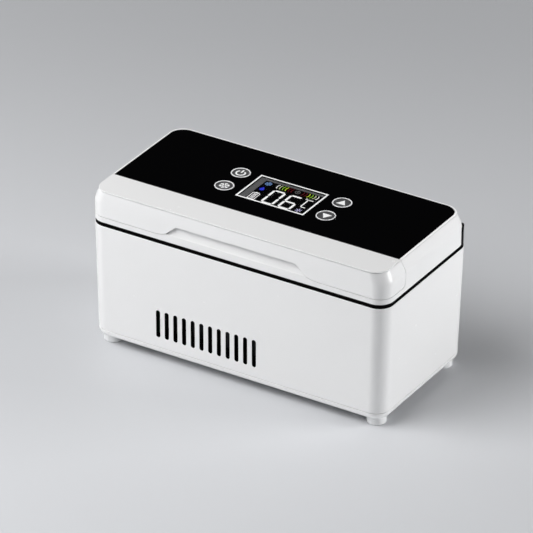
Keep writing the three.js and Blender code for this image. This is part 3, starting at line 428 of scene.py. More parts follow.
def dress(made, body, slot, finishes, *nodes):
    """Gives a piece its named finishes and the body that it moves with, and hides the nodes that it stands
    for.
    """
    for name in finishes:
        made.data.materials.append(finish_named(name))
    shade(made)
    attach(made, body)
    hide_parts(*nodes)
    return made


# Nodes

def node(tree, kind, sockets=None, **settings):
    """New node with its settings, and its inputs given as values or as sockets to link."""
    made = tree.nodes.new(kind)
    for key, value in settings.items():
        setattr(made, key, value)
    for key, value in (sockets or {}).items():
        if isinstance(value, bpy.types.NodeSocket):
            tree.links.new(value, made.inputs[key])
        else:
            made.inputs[key].default_value = value
    return made


def maths(tree, operation, *values):
    """Result of one sum on values or sockets."""
    return node(tree, "ShaderNodeMath", dict(enumerate(values)), operation=operation).outputs[0]


def fill(made, values):
    """Sets constant values on a node's own sockets."""
    for label, value in values.items():
        made.inputs[label].default_value = value


# Copies in rows, made by one tree of geometry nodes

def rows_tree(group_name):
    """Tree that sets copies of a piece in columns and rows, a pitch apart from a first place."""
    tree = bpy.data.node_groups.new(group_name, "GeometryNodeTree")
    tree.interface.new_socket("Geometry", in_out="OUTPUT", socket_type="NodeSocketGeometry")
    for name, kind in (("Piece", "Object"), ("Columns", "Int"), ("Rows", "Int"), ("First", "Vector"),
                       ("Pitch", "Vector"), ("Finish", "Material")):
        tree.interface.new_socket(name, in_out="INPUT", socket_type="NodeSocket" + kind)
    given = tree.nodes.new("NodeGroupInput").outputs
    index = tree.nodes.new("GeometryNodeInputIndex").outputs[0]
    column = maths(tree, "MODULO", index, given["Columns"])
    row = maths(tree, "FLOOR", maths(tree, "DIVIDE", index, given["Columns"]))
    steps = node(tree, "ShaderNodeCombineXYZ", {"X": column, "Y": row})
    place = node(tree, "ShaderNodeVectorMath", {0: steps.outputs[0], 1: given["Pitch"], 2: given["First"]},
                 operation="MULTIPLY_ADD")
    count = maths(tree, "MULTIPLY", given["Columns"], given["Rows"])
    points = node(tree, "GeometryNodePoints", {"Count": count, "Position": place.outputs[0]})
    piece = node(tree, "GeometryNodeObjectInfo", {"Object": given["Piece"]})
    spread = node(tree, "GeometryNodeInstanceOnPoints",
                  {"Points": points.outputs[0], "Instance": piece.outputs["Geometry"]})
    real = node(tree, "GeometryNodeRealizeInstances", {"Geometry": spread.outputs[0]})
    finish = node(tree, "GeometryNodeSetMaterial", {"Geometry": real.outputs[0], "Material": given["Finish"]})
    node(tree, "NodeGroupOutput", {"Geometry": finish.outputs[0]})
    return tree


def copies(name, piece, columns, rows, first, pitch, finish):
    """Plain mesh of the piece's copies. The piece itself is used up."""
    tree = bpy.data.node_groups.get("copies_in_rows") or rows_tree("copies_in_rows")
    made = new_object(name, bpy.data.meshes.new(name))
    step = made.modifiers.new("copies", "NODES")
    step.node_group = tree
    values = {"Piece": piece, "Columns": columns, "Rows": rows, "First": Vector(first) * MM,
              "Pitch": Vector(pitch) * MM, "Finish": finish}
    for socket in tree.interface.items_tree:
        if socket.in_out == "INPUT":
            step[socket.identifier] = values[socket.name]
    bake(made)
    bpy.data.meshes.remove(piece.data)
    return made


def at_corners(name, piece, x, front, rear, finish):
    """Copies of a piece at four corners, with a named finish."""
    return copies(name, piece, 2, 2, (-x, front, 0), (2 * x, rear - front, 0), finish_named(finish))


# Shared effects for the finishes: patterns in cycles per metre and levels of detail
CLOUDS = (26.0, 3.0)
PATCHES = (210.0, 4.0)
STREAKS = (1.0, 4.0)
GRAIN_DETAIL = 2.0
NOISE_MIDDLE = 0.5
STREAK_GLOSS = 0.3


def object_place(tree):
    """Place on the piece itself, so that a pattern moves with it."""
    return tree.nodes.new("ShaderNodeTexCoord").outputs["Object"]


def noise(tree, place, scale, detail):
    """Soft random pattern."""
    made = node(tree, "ShaderNodeTexNoise", {"Vector": place, "Scale": scale, "Detail": detail})
    return made.outputs["Fac"]


def tinted(tree, colour, share):
    """Colour made darker or brighter by a share."""
    return node(tree, "ShaderNodeVectorMath", {0: colour, "Scale": share}, operation="SCALE").outputs[0]


def mixed(tree, share, first, second):
    """Mix of two colours by a share."""
    made = node(tree, "ShaderNodeMix", {"Factor": share, "A": first, "B": second}, data_type="RGBA")
    return made.outputs["Result"]


def effect(name, inputs):
    """Shader group with named inputs and a surface's outputs. Returns it with the sockets of its inputs."""
    tree = bpy.data.node_groups.new(name, "ShaderNodeTree")
    for label, kind in inputs:
        tree.interface.new_socket(label, in_out="INPUT", socket_type="NodeSocket" + kind)
    for label, kind in (("Colour", "Color"), ("Roughness", "Float"), ("Height", "Float")):
        tree.interface.new_socket(label, in_out="OUTPUT", socket_type="NodeSocket" + kind)
    return tree, tree.nodes.new("NodeGroupInput").outputs


def moulded_effect(name):
    """Moulded plastic: slow drift of colour and gloss, and a fine skin of grain."""
    tree, given = effect(name, (("Colour", "Color"), ("Drift", "Float"), ("Roughness", "Float"),
                                ("Gloss drift", "Float"), ("Grain scale", "Float")))
    place = object_place(tree)
    fade = maths(tree, "MULTIPLY", noise(tree, place, *CLOUDS), given["Drift"])
    wander = maths(tree, "SUBTRACT", noise(tree, place, *PATCHES), NOISE_MIDDLE)
    node(tree, "NodeGroupOutput", {
        "Colour": tinted(tree, given["Colour"], maths(tree, "SUBTRACT", 1.0, fade)),
        "Roughness": maths(tree, "MULTIPLY_ADD", wander, given["Gloss drift"], given["Roughness"]),
        "Height": noise(tree, place, given["Grain scale"], GRAIN_DETAIL)})
    return tree


def drawn_effect(name):
    """Metal drawn in one direction: long fine streaks of tone and gloss."""
    tree, given = effect(name, (("Colour", "Color"), ("Contrast", "Float"), ("Roughness", "Float"),
                                ("Direction", "Vector")))
    drawn = node(tree, "ShaderNodeMapping", {"Vector": object_place(tree), "Scale": given["Direction"]})
    streak = noise(tree, drawn.outputs[0], *STREAKS)
    wander = maths(tree, "SUBTRACT", streak, NOISE_MIDDLE)
    node(tree, "NodeGroupOutput", {
        "Colour": tinted(tree, given["Colour"], maths(tree, "MULTIPLY_ADD", wander, given["Contrast"], 1.0)),
        "Roughness": maths(tree, "MULTIPLY_ADD", wander, STREAK_GLOSS, given["Roughness"]),
        "Height": streak})
    return tree


def new_finish(name):
    """New material. Returns it with its tree and its main shader."""
    made = bpy.data.materials.new(name)
    made.use_nodes = True
    return made, made.node_tree, made.node_tree.nodes["Principled BSDF"]


def place_effect(tree, shader, group, values, depth):
    """Feeds a shared effect into the main shader: colour, roughness and a bump of the given depth."""
    skin = tree.nodes.new("ShaderNodeGroup")
    skin.node_tree = group
    fill(skin, values)
    bump = node(tree, "ShaderNodeBump",
                {"Height": skin.outputs["Height"], "Strength": 1.0, "Distance": depth * MM})
    tree.links.new(skin.outputs["Colour"], shader.inputs["Base Color"])
    tree.links.new(skin.outputs["Roughness"], shader.inputs["Roughness"])
    tree.links.new(bump.outputs[0], shader.inputs["Normal"])


# Plastics and rubbers. A word as colour names one that a user can change. Drift and gloss drift say how far
# colour and roughness wander, grain in cycles per metre and depth in millimetres make the skin, level is the
# strength of its mirror seen straight on, and clear is the share of light that passes through
PLAIN_PLASTIC = {"drift": 0.03, "gloss_drift": 0.08, "grain": 2600.0, "depth": 0.004, "coat": 0.0}
PLASTICS = {
    "white_plastic": {"colour": "shell", "roughness": 0.26, "drift": 0.025, "gloss_drift": 0.06,
                      "coat": 0.12},
    # Painted highlight on the lid's top lip round the panel
    "edge_painted_highlight": {"colour": "edge", "roughness": 0.2, "drift": 0.01, "coat": 0.3},
    "satin_black": {"colour": "rim", "roughness": 0.3, "drift": 0.2, "gloss_drift": 0.1, "grain": 1800.0,
                    "level": 0.1},
    "dead_black": {"colour": (0.0012, 0.0012, 0.0013), "roughness": 0.7, "drift": 0.3, "level": 0.02},
    "gloss_black": {"colour": "panel", "roughness": 0.09, "drift": 0.3, "gloss_drift": 0.04, "grain": 400.0,
                    "depth": 0.0015, "level": 0.3},
    "milky_clear": {"colour": "foot", "roughness": 0.07, "drift": 0.05, "gloss_drift": 0.04, "grain": 900.0,
                    "depth": 0.002, "clear": 0.15},
    "window_clear": {"colour": (0.98, 0.98, 0.98), "roughness": 0.03, "drift": 0.02, "gloss_drift": 0.02,
                     "grain": 300.0, "depth": 0.0005, "clear": 1.0},
    "trim_line": {"colour": "trim", "roughness": 0.35},
    "key_face": {"colour": "key_face", "roughness": 0.3, "drift": 0.15, "grain": 3000.0, "coat": 0.3},
    "key_ring": {"colour": "key_ring", "roughness": 0.3, "drift": 0.1, "gloss_drift": 0.12, "coat": 0.2},
    "key_sign": {"colour": "key_sign", "roughness": 0.4, "drift": 0.02},
    "soft_silicone": {"colour": "seal", "roughness": 0.62, "drift": 0.12, "grain": 1500.0, "depth": 0.01},
    "cell_sleeve": {"colour": (0.022, 0.12, 0.38), "roughness": 0.3, "drift": 0.12, "coat": 0.3},
    "pale_ceramic": {"colour": (0.80, 0.79, 0.75), "roughness": 0.55, "drift": 0.08, "grain": 1200.0,
                     "depth": 0.01},
}
COAT_ROUGHNESS = 0.06
CLEAR_IOR = 1.47


def plastic(name):
    """Moulded plastic or rubber, by its entry in the list."""
    values = {**PLAIN_PLASTIC, **PLASTICS[name]}
    colour = values["colour"]
    if isinstance(colour, str):
        colour = getattr(colours(), colour)
    made, tree, shader = new_finish(name)
    group = bpy.data.node_groups.get("moulded_skin") or moulded_effect("moulded_skin")
    place_effect(tree, shader, group, {
        "Colour": (*colour, 1.0), "Drift": values["drift"], "Roughness": values["roughness"],
        "Gloss drift": values["gloss_drift"], "Grain scale": values["grain"]}, values["depth"])
    fill(shader, {"Coat Weight": values["coat"], "Coat Roughness": COAT_ROUGHNESS})
    if "level" in values:
        fill(shader, {"Specular IOR Level": values["level"]})
    if "clear" in values:
        fill(shader, {"Transmission Weight": values["clear"], "IOR": CLEAR_IOR})
    return made


# Metals drawn along one direction, with streaks per metre along X, Y and Z
METALS = {
    "bright_steel": {"colour": (0.58, 0.58, 0.59), "roughness": 0.28, "streaks": (900.0, 900.0, 3000.0)},
    "drawn_aluminium": {"colour": (0.50, 0.51, 0.52), "roughness": 0.46, "streaks": (60.0, 2600.0, 2600.0)},
}
METAL_CONTRAST = 0.3
METAL_DEPTH = 0.003


def metal(name):
    """Drawn metal, by its entry in the list."""
    values = METALS[name]
    made, tree, shader = new_finish(name)
    group = bpy.data.node_groups.get("drawn_streaks") or drawn_effect("drawn_streaks")
    place_effect(tree, shader, group, {
        "Colour": (*values["colour"], 1.0), "Contrast": METAL_CONTRAST, "Roughness": values["roughness"],
        "Direction": values["streaks"]}, METAL_DEPTH)
    fill(shader, {"Metallic": 1.0})
    return made


FOAM = {"beads": 420.0, "seam": 0.12, "dark": 0.72, "pale": 0.88, "depth": 0.2, "roughness": 0.85}


def foam(name):
    """Moulded bead foam: packed pale cells with shallow seams."""
    made, tree, shader = new_finish(name)
    beads = node(tree, "ShaderNodeTexVoronoi", {"Vector": object_place(tree), "Scale": FOAM["beads"]},
                 feature="DISTANCE_TO_EDGE").outputs["Distance"]
    tone = node(tree, "ShaderNodeMapRange",
                {"Value": beads, 1: 0.0, 2: FOAM["seam"], 3: FOAM["dark"], 4: FOAM["pale"]})
    bump = node(tree, "ShaderNodeBump", {"Height": beads, "Distance": FOAM["depth"] * MM})
    tree.links.new(tone.outputs[0], shader.inputs["Base Color"])
    tree.links.new(bump.outputs[0], shader.inputs["Normal"])
    fill(shader, {"Roughness": FOAM["roughness"]})
    return made


BOARD = {"tracks": 260.0, "track": 0.06, "pads": 330.0, "pad": 0.16, "roughness": 0.38}
BOARD_COLOURS = {"Color1": (0.012, 0.11, 0.035, 1.0), "Color2": (0.016, 0.14, 0.05, 1.0),
                 "Mortar": (0.03, 0.23, 0.09, 1.0)}
PAD_COLOUR = (0.62, 0.60, 0.55, 1.0)


def circuit_board(name):
    """Green solder resist over copper tracks, with pale pads."""
    made, tree, shader = new_finish(name)
    place = object_place(tree)
    tracks = node(tree, "ShaderNodeTexBrick", {
        "Vector": place, "Scale": BOARD["tracks"], "Mortar Size": BOARD["track"], **BOARD_COLOURS})
    spots = node(tree, "ShaderNodeTexVoronoi", {"Vector": place, "Scale": BOARD["pads"]})
    pads = maths(tree, "LESS_THAN", spots.outputs["Distance"], BOARD["pad"])
    tree.links.new(mixed(tree, pads, tracks.outputs["Color"], PAD_COLOUR), shader.inputs["Base Color"])
    fill(shader, {"Roughness": BOARD["roughness"]})
    return made


# Picture cells of the display in millimetres, and the brightness of every second cell and of the gaps
CELL = {"size": 0.5, "gap": 0.03, "second": 0.94, "dim": 0.8}
UNLIT = {"Base Color": (0.004, 0.004, 0.004, 1.0), "Roughness": 0.5}


def glowing(name, colour, strength):
    """Lit area of the display: a glow with a faint grid of picture cells."""
    made, tree, shader = new_finish(name)
    first, second, dim = ((*[share * c for c in colour], 1.0) for share in (1.0, CELL["second"], CELL["dim"]))
    cells = node(tree, "ShaderNodeTexBrick", {
        "Vector": object_place(tree), "Scale": 1.0, "Color1": first, "Color2": second, "Mortar": dim,
        "Mortar Size": CELL["gap"] * MM, "Brick Width": CELL["size"] * MM, "Row Height": CELL["size"] * MM})
    tree.links.new(cells.outputs["Color"], shader.inputs["Emission Color"])
    fill(shader, {"Emission Strength": strength, **UNLIT})
    return made


MAKERS = {**dict.fromkeys(PLASTICS, plastic), **dict.fromkeys(METALS, metal), "bead_foam": foam,
          "green_board": circuit_board}


def finish_named(name):
    """Finish of this name, made when it is first asked for."""
    return bpy.data.materials.get(name) or MAKERS[name](name)


# Body

def body_ring(z, inset=0.0):
    """Outline of the drafted body at one height, inset from its outer face."""
    lean = DRAFT * (RIM - z) + inset
    half_y = WIDTH / 2 - lean
    return ring(LENGTH / 2 - lean, -half_y, half_y, length("corner") - inset, z)


def body_face(z):
    """Distance of the drafted front and rear faces from the middle at one height."""
    return WIDTH / 2 - DRAFT * (RIM - z)


def stadium(half_width, bottom, top):
    """Upright slot outline of (x, z) points with round ends."""
    points = []
    for centre, start in ((top - half_width, 0.0), (bottom + half_width, math.pi)):
        for i in range(CURVE_STEPS + 1):
            angle = start + math.pi * i / CURVE_STEPS
            points.append((half_width * math.cos(angle), centre + half_width * math.sin(angle)))
    return points


def slot_cutter():
    """One upright slot through both walls, flared where it meets each outer face."""
    half = length("slot_width") / 2
    lip = VENT["lip"]
    flare = [(lip, OVERLAP)] + [(lip * (1 - math.sin(a)), -lip * (1 - math.cos(a))) for a in quarter()]
    sections = [(-1, grow, out) for grow, out in flare] + [(1, grow, out) for grow, out in reversed(flare)]
    loops = []
    for side, grow, out in sections:
        outline = stadium(half + grow, VENT["bottom"] - grow, VENT["top"] + grow)
        loops.append([(x, side * (body_face(z) + out), z) for x, z in outline])
    return loft("slot_cutter", loops)


def last_slot():
    """Place of the last air slot along the wall."""
    return VENT["first_x"] + length("slot_pitch") * (sizes().slot_count - 1)


def vent_pocket():
    """Room behind both rows of slots, where the walls are thinner."""
    half = length("slot_width") / 2 + VENT["margin"]
    x0, x1 = VENT["first_x"] - half, last_slot() + half
    z0, z1 = VENT["bottom"] - VENT["margin"], VENT["top"] + VENT["margin"]
    outline = ((x0, z0), (x1, z0), (x1, z1), (x0, z1))
    return loft("vent_pocket", [[(x, side * (body_face(z) - VENT["skin"]), z) for x, z in outline]
                                for side in (-1, 1)])


def in_vents(point):
    """Whether a point lies within the rows of slots, seen from the front."""
    level = VENT["bottom"] - FIT < point.z < VENT["top"] + FIT
    return level and VENT["first_x"] - length("slot_width") < point.x < last_slot() + length("slot_width")


def inside_shell_painted_shade(face):
    """Whether a face of the shell is on its inner side or on the wall of a slot: the faces painted black as
    shade inside the case.
    """
    depth = body_face(face.center.z / MM) - abs(face.center.y) / MM
    in_slot = VENT["lip"] < depth < WALL and abs(face.normal.y) < FACING and in_vents(face.center / MM)
    return in_slot or face.normal.xy.dot(face.center.xy) < 0


def outer_shell():
    """Drafted walls, black inside as painted shade, with two rows of air slots and the hole for the power
    socket.
    """
    section = lower_round(BASE_SEAM, length("edge")) + upper_round(RIM, length("edge"))
    section += [(WALL, RIM), (WALL, BASE_SEAM)]
    made = loft("outer_shell", [body_ring(z, inset) for inset, z in section], around=True)
    slots = copies("air_slots", slot_cutter(), sizes().slot_count, 1, (VENT["first_x"], 0.0, 0.0),
                   (length("slot_pitch"), 0.0, 0.0), None)
    jack = rod("jack_hole", (JACK_HOLE["x"], JACK_HOLE["z"]), JACK_HOLE["radius"], WIDTH / 2 - 2 * WALL,
               WIDTH / 2 + OVERLAP, "Y")
    cut(made, vent_pocket(), slots, jack)
    # The inner faces and slot walls get the black finish as painted shade, so the slots look dark
    return second_finish(made, inside_shell_painted_shade)


def intake_cutter(y):
    """Air slot across the base under the fan, as long as the fan's circle is wide there."""
    half = INTAKE["half"]
    reach = math.sqrt(INTAKE["reach"] ** 2 - y ** 2)
    lip = VENT["lip"]
    loops = []
    for grow, z in [(lip, 0.0), *lower_round(FOOT_TOP, lip), (0.0, FLOOR + OVERLAP)]:
        outline = ring(reach + grow, y - half - grow, y + half + grow, half + grow - SLIVER, z, CURVE_STEPS)
        loops.append([(x + INTAKE["x"], point_y, point_z) for x, point_y, point_z in outline])
    return loft("intake_cutter", loops)


def base_tray():
    """Base with a rounded lower edge, a black floor inside as painted shade, screw towers and the fan's air
    slots.
    """
    rise = BASE_TOP - FOOT_TOP - length("edge")
    foot_round = [(BASE_ROUND_IN * (1 - math.sin(a)), FOOT_TOP + rise * (1 - math.cos(a)))
                  for a in quarter(CURVE_STEPS)]
    lip_in = WALL + FIT
    section = foot_round + upper_round(BASE_TOP, length("edge"))[1:] + [
        (lip_in, BASE_TOP), (lip_in, LIP_TOP), (lip_in + LIP, LIP_TOP), (lip_in + LIP, FLOOR)]
    made = loft("base_tray", [body_ring(z, inset) for inset, z in section])
    places = [(sx, sy) for sx in (-1, 1) for sy in (-1, 1)]
    screw = [(sx * BASE_SCREW["x"], sy * BASE_SCREW["y"]) for sx, sy in places]
    stub = [(sx * FOOT["x"], sy * FOOT["y"]) for sx, sy in places]
    join(made, *[post("tower", x, y, BASE_SCREW["tower"], FLOOR - OVERLAP, LIP_TOP) for x, y in screw])
    cut(made,
        *[post("sink", x, y, BASE_SCREW["head"] + FIT, 0.0, FLOOR) for x, y in screw],
        *[post("shank", x, y, BASE_SCREW["shank"] + FIT, 0.0, RIM) for x, y in screw],
        *[post("stub", x, y, FOOT["stub"] + FIT / 2, 0.0, FLOOR + OVERLAP) for x, y in stub])
    rows = range(-INTAKE["each_side"], INTAKE["each_side"] + 1)
    cut(made, *[intake_cutter(i * INTAKE["pitch"]) for i in rows])
    # The floor inside gets the black finish as painted shade, so nothing pale shows through the slots
    return second_finish(made, lambda face: face.normal.z > FACING and abs(face.center.z / MM - FLOOR) < FIT)


def clear_feet():
    """Four round feet, each with a stub in the base."""
    radius, seat, stub, stub_top = FOOT["radius"], FOOT_TOP - GAP, FOOT["stub"], FOOT["stub_top"]
    section = lower_round(0.0, FOOT["edge"]) + upper_round(seat, FOOT["seat_edge"])
    rounded = [(radius - inset, z) for inset, z in section]
    foot = turned("foot", [(0, 0.0), *rounded, (stub, seat), (stub, stub_top), (0, stub_top)])
    return at_corners("clear_feet", foot, FOOT["x"], -FOOT["y"], FOOT["y"], "milky_clear")


def cross_screw(name, head_z, head_top, tip, head, shank):
    """Pan-head screw with a cross recess, its head facing down."""
    rounded = [(head - inset, z) for inset, z in lower_round(head_z, RECESS["head_edge"])]
    profile = [(0, head_z), *rounded, (head, head_top), (shank, head_top), (shank, tip - shank), (0, tip)]
    made = turned(name, profile, steps=TURN_STEPS // 2)
    low, high = head_z - OVERLAP, head_z + RECESS["depth"]
    arm, reach = RECESS["arm"], head * RECESS["reach"]
    return cut(made, *[block("bar", -x, x, -y, y, low, high) for x, y in ((arm, reach), (reach, arm))])


# Hinge frame

def span(side, start, end):
    """Stretch along X on the left or right side of the middle, from its lower end."""
    return sorted((side * start, side * end))


def half_round_bar():
    """Side outline of the rear bar of the hinge frame: upright sides under a half-round crown."""
    y, z, radius, steps = HINGE["y"], HINGE["z"], HINGE["bar"], TURN_STEPS // 2
    angles = [math.pi * i / steps for i in range(steps + 1)]
    crown = [(y + radius * math.cos(a), z + radius * math.sin(a)) for a in angles]
    return [(y - radius, RIM + OVERLAP), (y + radius, RIM + OVERLAP), *crown]


def frame_cutters():
    """Tools for the windows of the hinge barrels, the bores of the pins and the pockets of the magnets."""
    tools = []
    for side in (-1, 1):
        window = span(side, KNUCKLE_FROM - FIT, KNUCKLE_TO + FIT)
        bore = span(side, PIN_FROM - SLIP, PIN_TO + SLIP)
        tools.append(block("window", *window, HINGE["y"] - 2 * HINGE["bar"], WIDTH, FRAME_TOP, TOP))
        tools.append(rod("bore", (HINGE["y"], HINGE["z"]), HINGE["bore"], *bore, "X"))
        tools.append(post("pocket", side * MAGNET["x"], MAGNET["y"], MAGNET["radius"] + PLAY,
                          FRAME_TOP - MAGNET["height"] - GAP, TOP))
    return tools


def rim_frame():
    """Frame on the rim of the body, with a matt edge, and the rear bar that carries the hinge pins."""
    inset, soft = FRAME["inset"], FRAME["edge"]
    half_x, half_y, radius = LENGTH / 2 - inset, WIDTH / 2 - inset, length("corner") - inset
    section = [(0.0, RIM)] + upper_round(FRAME_TOP, soft)
    outside = [centred_ring(half_x, half_y, radius, i, z) for i, z in section]
    inside = [ring(FRAME["inner_x"], FRAME["inner_front"], FRAME["inner_rear"], FRAME["inner_corner"], z)
              for z in (FRAME_TOP, RIM)]
    made = loft("rim_frame", outside + inside, around=True)
    skirt_out = WALL + FIT
    skirt_in = skirt_out + SKIRT["thickness"]
    low, high = RIM - SKIRT["depth"], RIM + OVERLAP
    skirt = loft("skirt", [body_ring(z, i) for i, z in ((skirt_out, low), (skirt_out, high), (skirt_in, high),
                                                        (skirt_in, low))], around=True)
    bar = along_x("bar", half_round_bar(), -LENGTH, LENGTH)
    keep(bar, plate("footprint", half_x, -half_y, half_y, radius, RIM, TOP))
    join(made, skirt, bar)
    cut(made, *frame_cutters())
    return second_finish(
        made, lambda face: face.center.z / MM < FRAME_TOP - soft and abs(face.normal.z) < FACING)


# Lid

def bend_share(z):
    """How far the lid's sloped sides have come in at one height, as a share of the whole slope."""
    start = (BEND["start"] + BEND["end"]) / 2
    if z <= BEND["start"]:
        return 0.0
    if z < BEND["end"]:
        run = (z - BEND["start"]) ** 2 / (2 * (BEND["end"] - BEND["start"]))
    else:
        run = z - start
    return run / (TOP - start)


def lid_ring(z, inset=0.0):
    """Outline of the lid at one height, inset from its outer face."""
    share = bend_share(z)
    half_x = LENGTH / 2 - BEND["end_in"] * share - inset
    rear = LID_REAR - BEND["rear_in"] * share - inset
    return ring(half_x, inset - WIDTH / 2, rear, length("corner") - inset, z)


def lid_block(name, low, high, inset=0.0):
    """Solid of the lid's form between two ends, each given as (inset, height) pairs."""
    rise = BEND["end"] - BEND["start"]
    bend = [(0.0, BEND["start"] + rise * i / BEND_STEPS) for i in range(BEND_STEPS + 1)]
    return loft(name, [lid_ring(z, inset + extra) for extra, z in low + bend + high])


def top_lip():
    """(inset, height) pairs at the lid's top: a fine groove in the wall and the crisp lip over it."""
    depth = TOP_LIP["depth"]
    groove_top = TOP - TOP_LIP["height"]
    groove_low = groove_top - TOP_LIP["groove"]
    groove = [(TOP_LIP["setback"], groove_low), (depth, groove_low), (depth, groove_top), (0.0, groove_top)]
    return groove + upper_round(TOP, TOP_LIP["round"])


def visor_side(grow=0.0):
    """Side outline of the visor: lower edge, rounded corner and bowed seam up to the panel."""
    low = VISOR_BOTTOM - grow
    seam_low, seam_top = VISOR["seam_low"] + grow, VISOR["seam_top"] + grow
    foot = (seam_low - VISOR["corner"], low)
    knee = (seam_low, low + VISOR["corner"])
    points = [(-WIDTH, low), foot, *bow(foot, (seam_low, low), knee)]
    points += bow(knee, (2 * VISOR["seam_mid"] - VISOR["seam_low"] + grow, (low + TOP) / 2), (seam_top, TOP))
    return points + [(seam_top, 2 * TOP), (-WIDTH, 2 * TOP)]


def pull_front(gap=0.0):
    """Front outline of the finger pull: flared feet, sloped sides, a level top edge, drawn in by a gap."""
    slope = (PULL_TOP - VISOR_BOTTOM) / (PULL["bend_low"] - PULL["bend_high"])
    foot = (PULL["low"], VISOR_BOTTOM)
    knee = (PULL["knee"], VISOR_BOTTOM + (PULL["bend_low"] - PULL["knee"]) * slope)
    shoulder = (PULL["bend_high"] + PULL["crown"] / slope, PULL_TOP - PULL["crown"])
    right = [(PULL["low"], RIM), foot, *bow(foot, (PULL["bend_low"], VISOR_BOTTOM), knee)]
    right += [shoulder, *bow(shoulder, (PULL["bend_high"], PULL_TOP), (PULL["high"], PULL_TOP))]
    step = gap * math.sqrt(0.5)
    right = [(x - step, z - step) for x, z in right]
    return right + [(-x, z) for x, z in reversed(right)]


def pull_scoop():
    """Hollow under the pull's edge: a face that leans back behind a low brink, deepest at the top."""
    face, brink = -WIDTH / 2, SCOOP["brink"]
    side = [(face - OVERLAP, brink), (face, brink), (SCOOP["foot_y"], SCOOP["foot_z"]),
            (SCOOP["back"], PULL_TOP), (face - OVERLAP, PULL_TOP)]
    made = along_x("scoop", side, -PULL["low"], PULL["low"])
    return keep(made, along_y("pull", pull_front(), -WIDTH, 0.0))


def panel_outline(grow=0.0):
    """Panel outline: square front corners against the visor, rounded rear corners."""
    x, front, rear, radius = PANEL["x"] + grow, PANEL["front"] - grow, PANEL["rear"] + grow, PANEL["corner"]
    points = [(-x, front), (x, front)]
    for centre, start in ((x - radius, 0.0), (radius - x, math.pi / 2)):
        for i in range(CORNER_STEPS + 1):
            angle = start + math.pi / 2 * i / CORNER_STEPS
            points.append((centre + radius * math.cos(angle), rear - radius + radius * math.sin(angle)))
    return points


def panel_prism(name, grow, z0, z1):
    """Block with the panel's outline."""
    return loft(name, [[(x, y, z) for x, y in panel_outline(grow)] for z in (z0, z1)])


def display_block(name, grow, z0, z1):
    """Block with the display's outline."""
    x, y, half_y = DISPLAY["x"] + grow, DISPLAY["y"], DISPLAY["half_y"] + grow
    return block(name, -x, x, y - half_y, y + half_y, z0, z1)


def key_places():
    """Middle of each key by its name."""
    return {"power": (-KEY["x"], KEY["rear"]), "mode": (-KEY["x"], KEY["front"]),
            "up": (KEY["x"], KEY["rear"]), "down": (KEY["x"], KEY["front"])}


def key_holes():
    """Cutters for the round holes that the keys move in."""
    return [post("key_hole", x, y, KEY["hole"], LCD["bottom"], TOP + OVERLAP)
            for x, y in key_places().values()]


def lid_screw_places():
    """Middle of each screw that holds the lid's inner cover."""
    return [(sx * LID_SCREW["x"], y) for sx in (-1, 1) for y in (LID_SCREW["front"], LID_SCREW["rear"])]


def lid_room():
    """Room inside the lid, under the deck that carries the panel."""
    x, front, rear, radius = LID_INSIDE["x"], LID_INSIDE["front"], LID_INSIDE["rear"], LID_INSIDE["corner"]
    return loft("lid_room", [ring(x, front, rear, radius, 0.0), ring(x, front, rear, radius, BEND["start"]),
                             ring(LID_INSIDE["deck_x"], front, rear, radius, DECK["bottom"])])


def lid_arms():
    """Screw bosses under the deck, and the hinge barrels with the webs that carry them."""
    post_top = DECK["bottom"] + OVERLAP
    arms = [post("boss", x, y, LID_BOSS, LINER["top"] + GAP, post_top) for x, y in lid_screw_places()]
    for side in (-1, 1):
        x0, x1 = span(side, KNUCKLE_FROM, KNUCKLE_TO)
        arms.append(rod("barrel", (HINGE["y"], HINGE["z"]), HINGE["knuckle"], x0, x1, "X"))
        arms.append(block("web", x0, x1, HINGE["y"] - HINGE["web"], LID_REAR - SLIP, HINGE["z"],
                          NOTCH["top"] + OVERLAP))
    return arms


def lid_cutters():
    """Tools for the display's opening, the holes of keys, screws and pins, and the pockets of the magnets."""
    tools = [display_block("window", FIT - DISPLAY["line"], DECK["bottom"] - OVERLAP, TOP), *key_holes()]
    tools += [post("screw", x, y, LID_SCREW["shank"] + PLAY, 0.0, LID_SCREW["tip"] + OVERLAP)
              for x, y in lid_screw_places()]
    for side in (-1, 1):
        x0, x1 = span(side, KNUCKLE_FROM - OVERLAP, KNUCKLE_TO + OVERLAP)
        tools.append(rod("bore", (HINGE["y"], HINGE["z"]), HINGE["bore"], x0, x1, "X"))
        tools.append(post("pocket", side * MAGNET["x"], MAGNET["y"], MAGNET["radius"] + PLAY, 0.0,
                          LID_BOTTOM + MAGNET["height"] + GAP))
    return tools


def lid_body():
    """Lid with its deck, bosses and hinge barrels. The lip round the panel has a brighter white finish, a
    painted highlight of the light its edge catches.
    """
    made = lid_block("lid_body", lower_round(LID_BOTTOM, length("edge")), top_lip())
    visor_in = VISOR["thickness"] + SLIP
    visor_room = along_x("visor_room", visor_side(SEAM), -LENGTH, LENGTH)
    cut(visor_room, lid_block("inner", [(0.0, 0.0)], [(0.0, TOP - visor_in)], visor_in),
        along_y("pull_pad", pull_front(SEAM), -WIDTH, 0.0))
    notch = block("notch", -LENGTH, LENGTH, NOTCH["y"], WIDTH, 0.0, NOTCH["top"])
    recess = panel_prism("recess", SLIP, DECK["top"], TOP + OVERLAP)
    cut(made, visor_room, recess, lid_room(), notch, pull_scoop())
    join(made, *lid_arms())
    cut(made, *lid_cutters())
    return second_finish(made, lambda face: face.center.z / MM > TOP - TOP_LIP["round"])


def front_visor():
    """Cap over the front of the lid, with the finger pull cut through it."""
    made = lid_block("front_visor", [(0.0, LID_BOTTOM)], top_lip())
    thickness = VISOR["thickness"]
    cut(made, lid_block("inner", [(0.0, 0.0)], [(0.0, TOP - thickness)], thickness))
    keep(made, along_x("region", visor_side(), -LENGTH, LENGTH))
    return cut(made, along_y("pull", pull_front(), -WIDTH, 0.0),
               panel_prism("panel_room", SLIP, PANEL["bottom"] - FIT, TOP + OVERLAP))


# Panel, display and keys

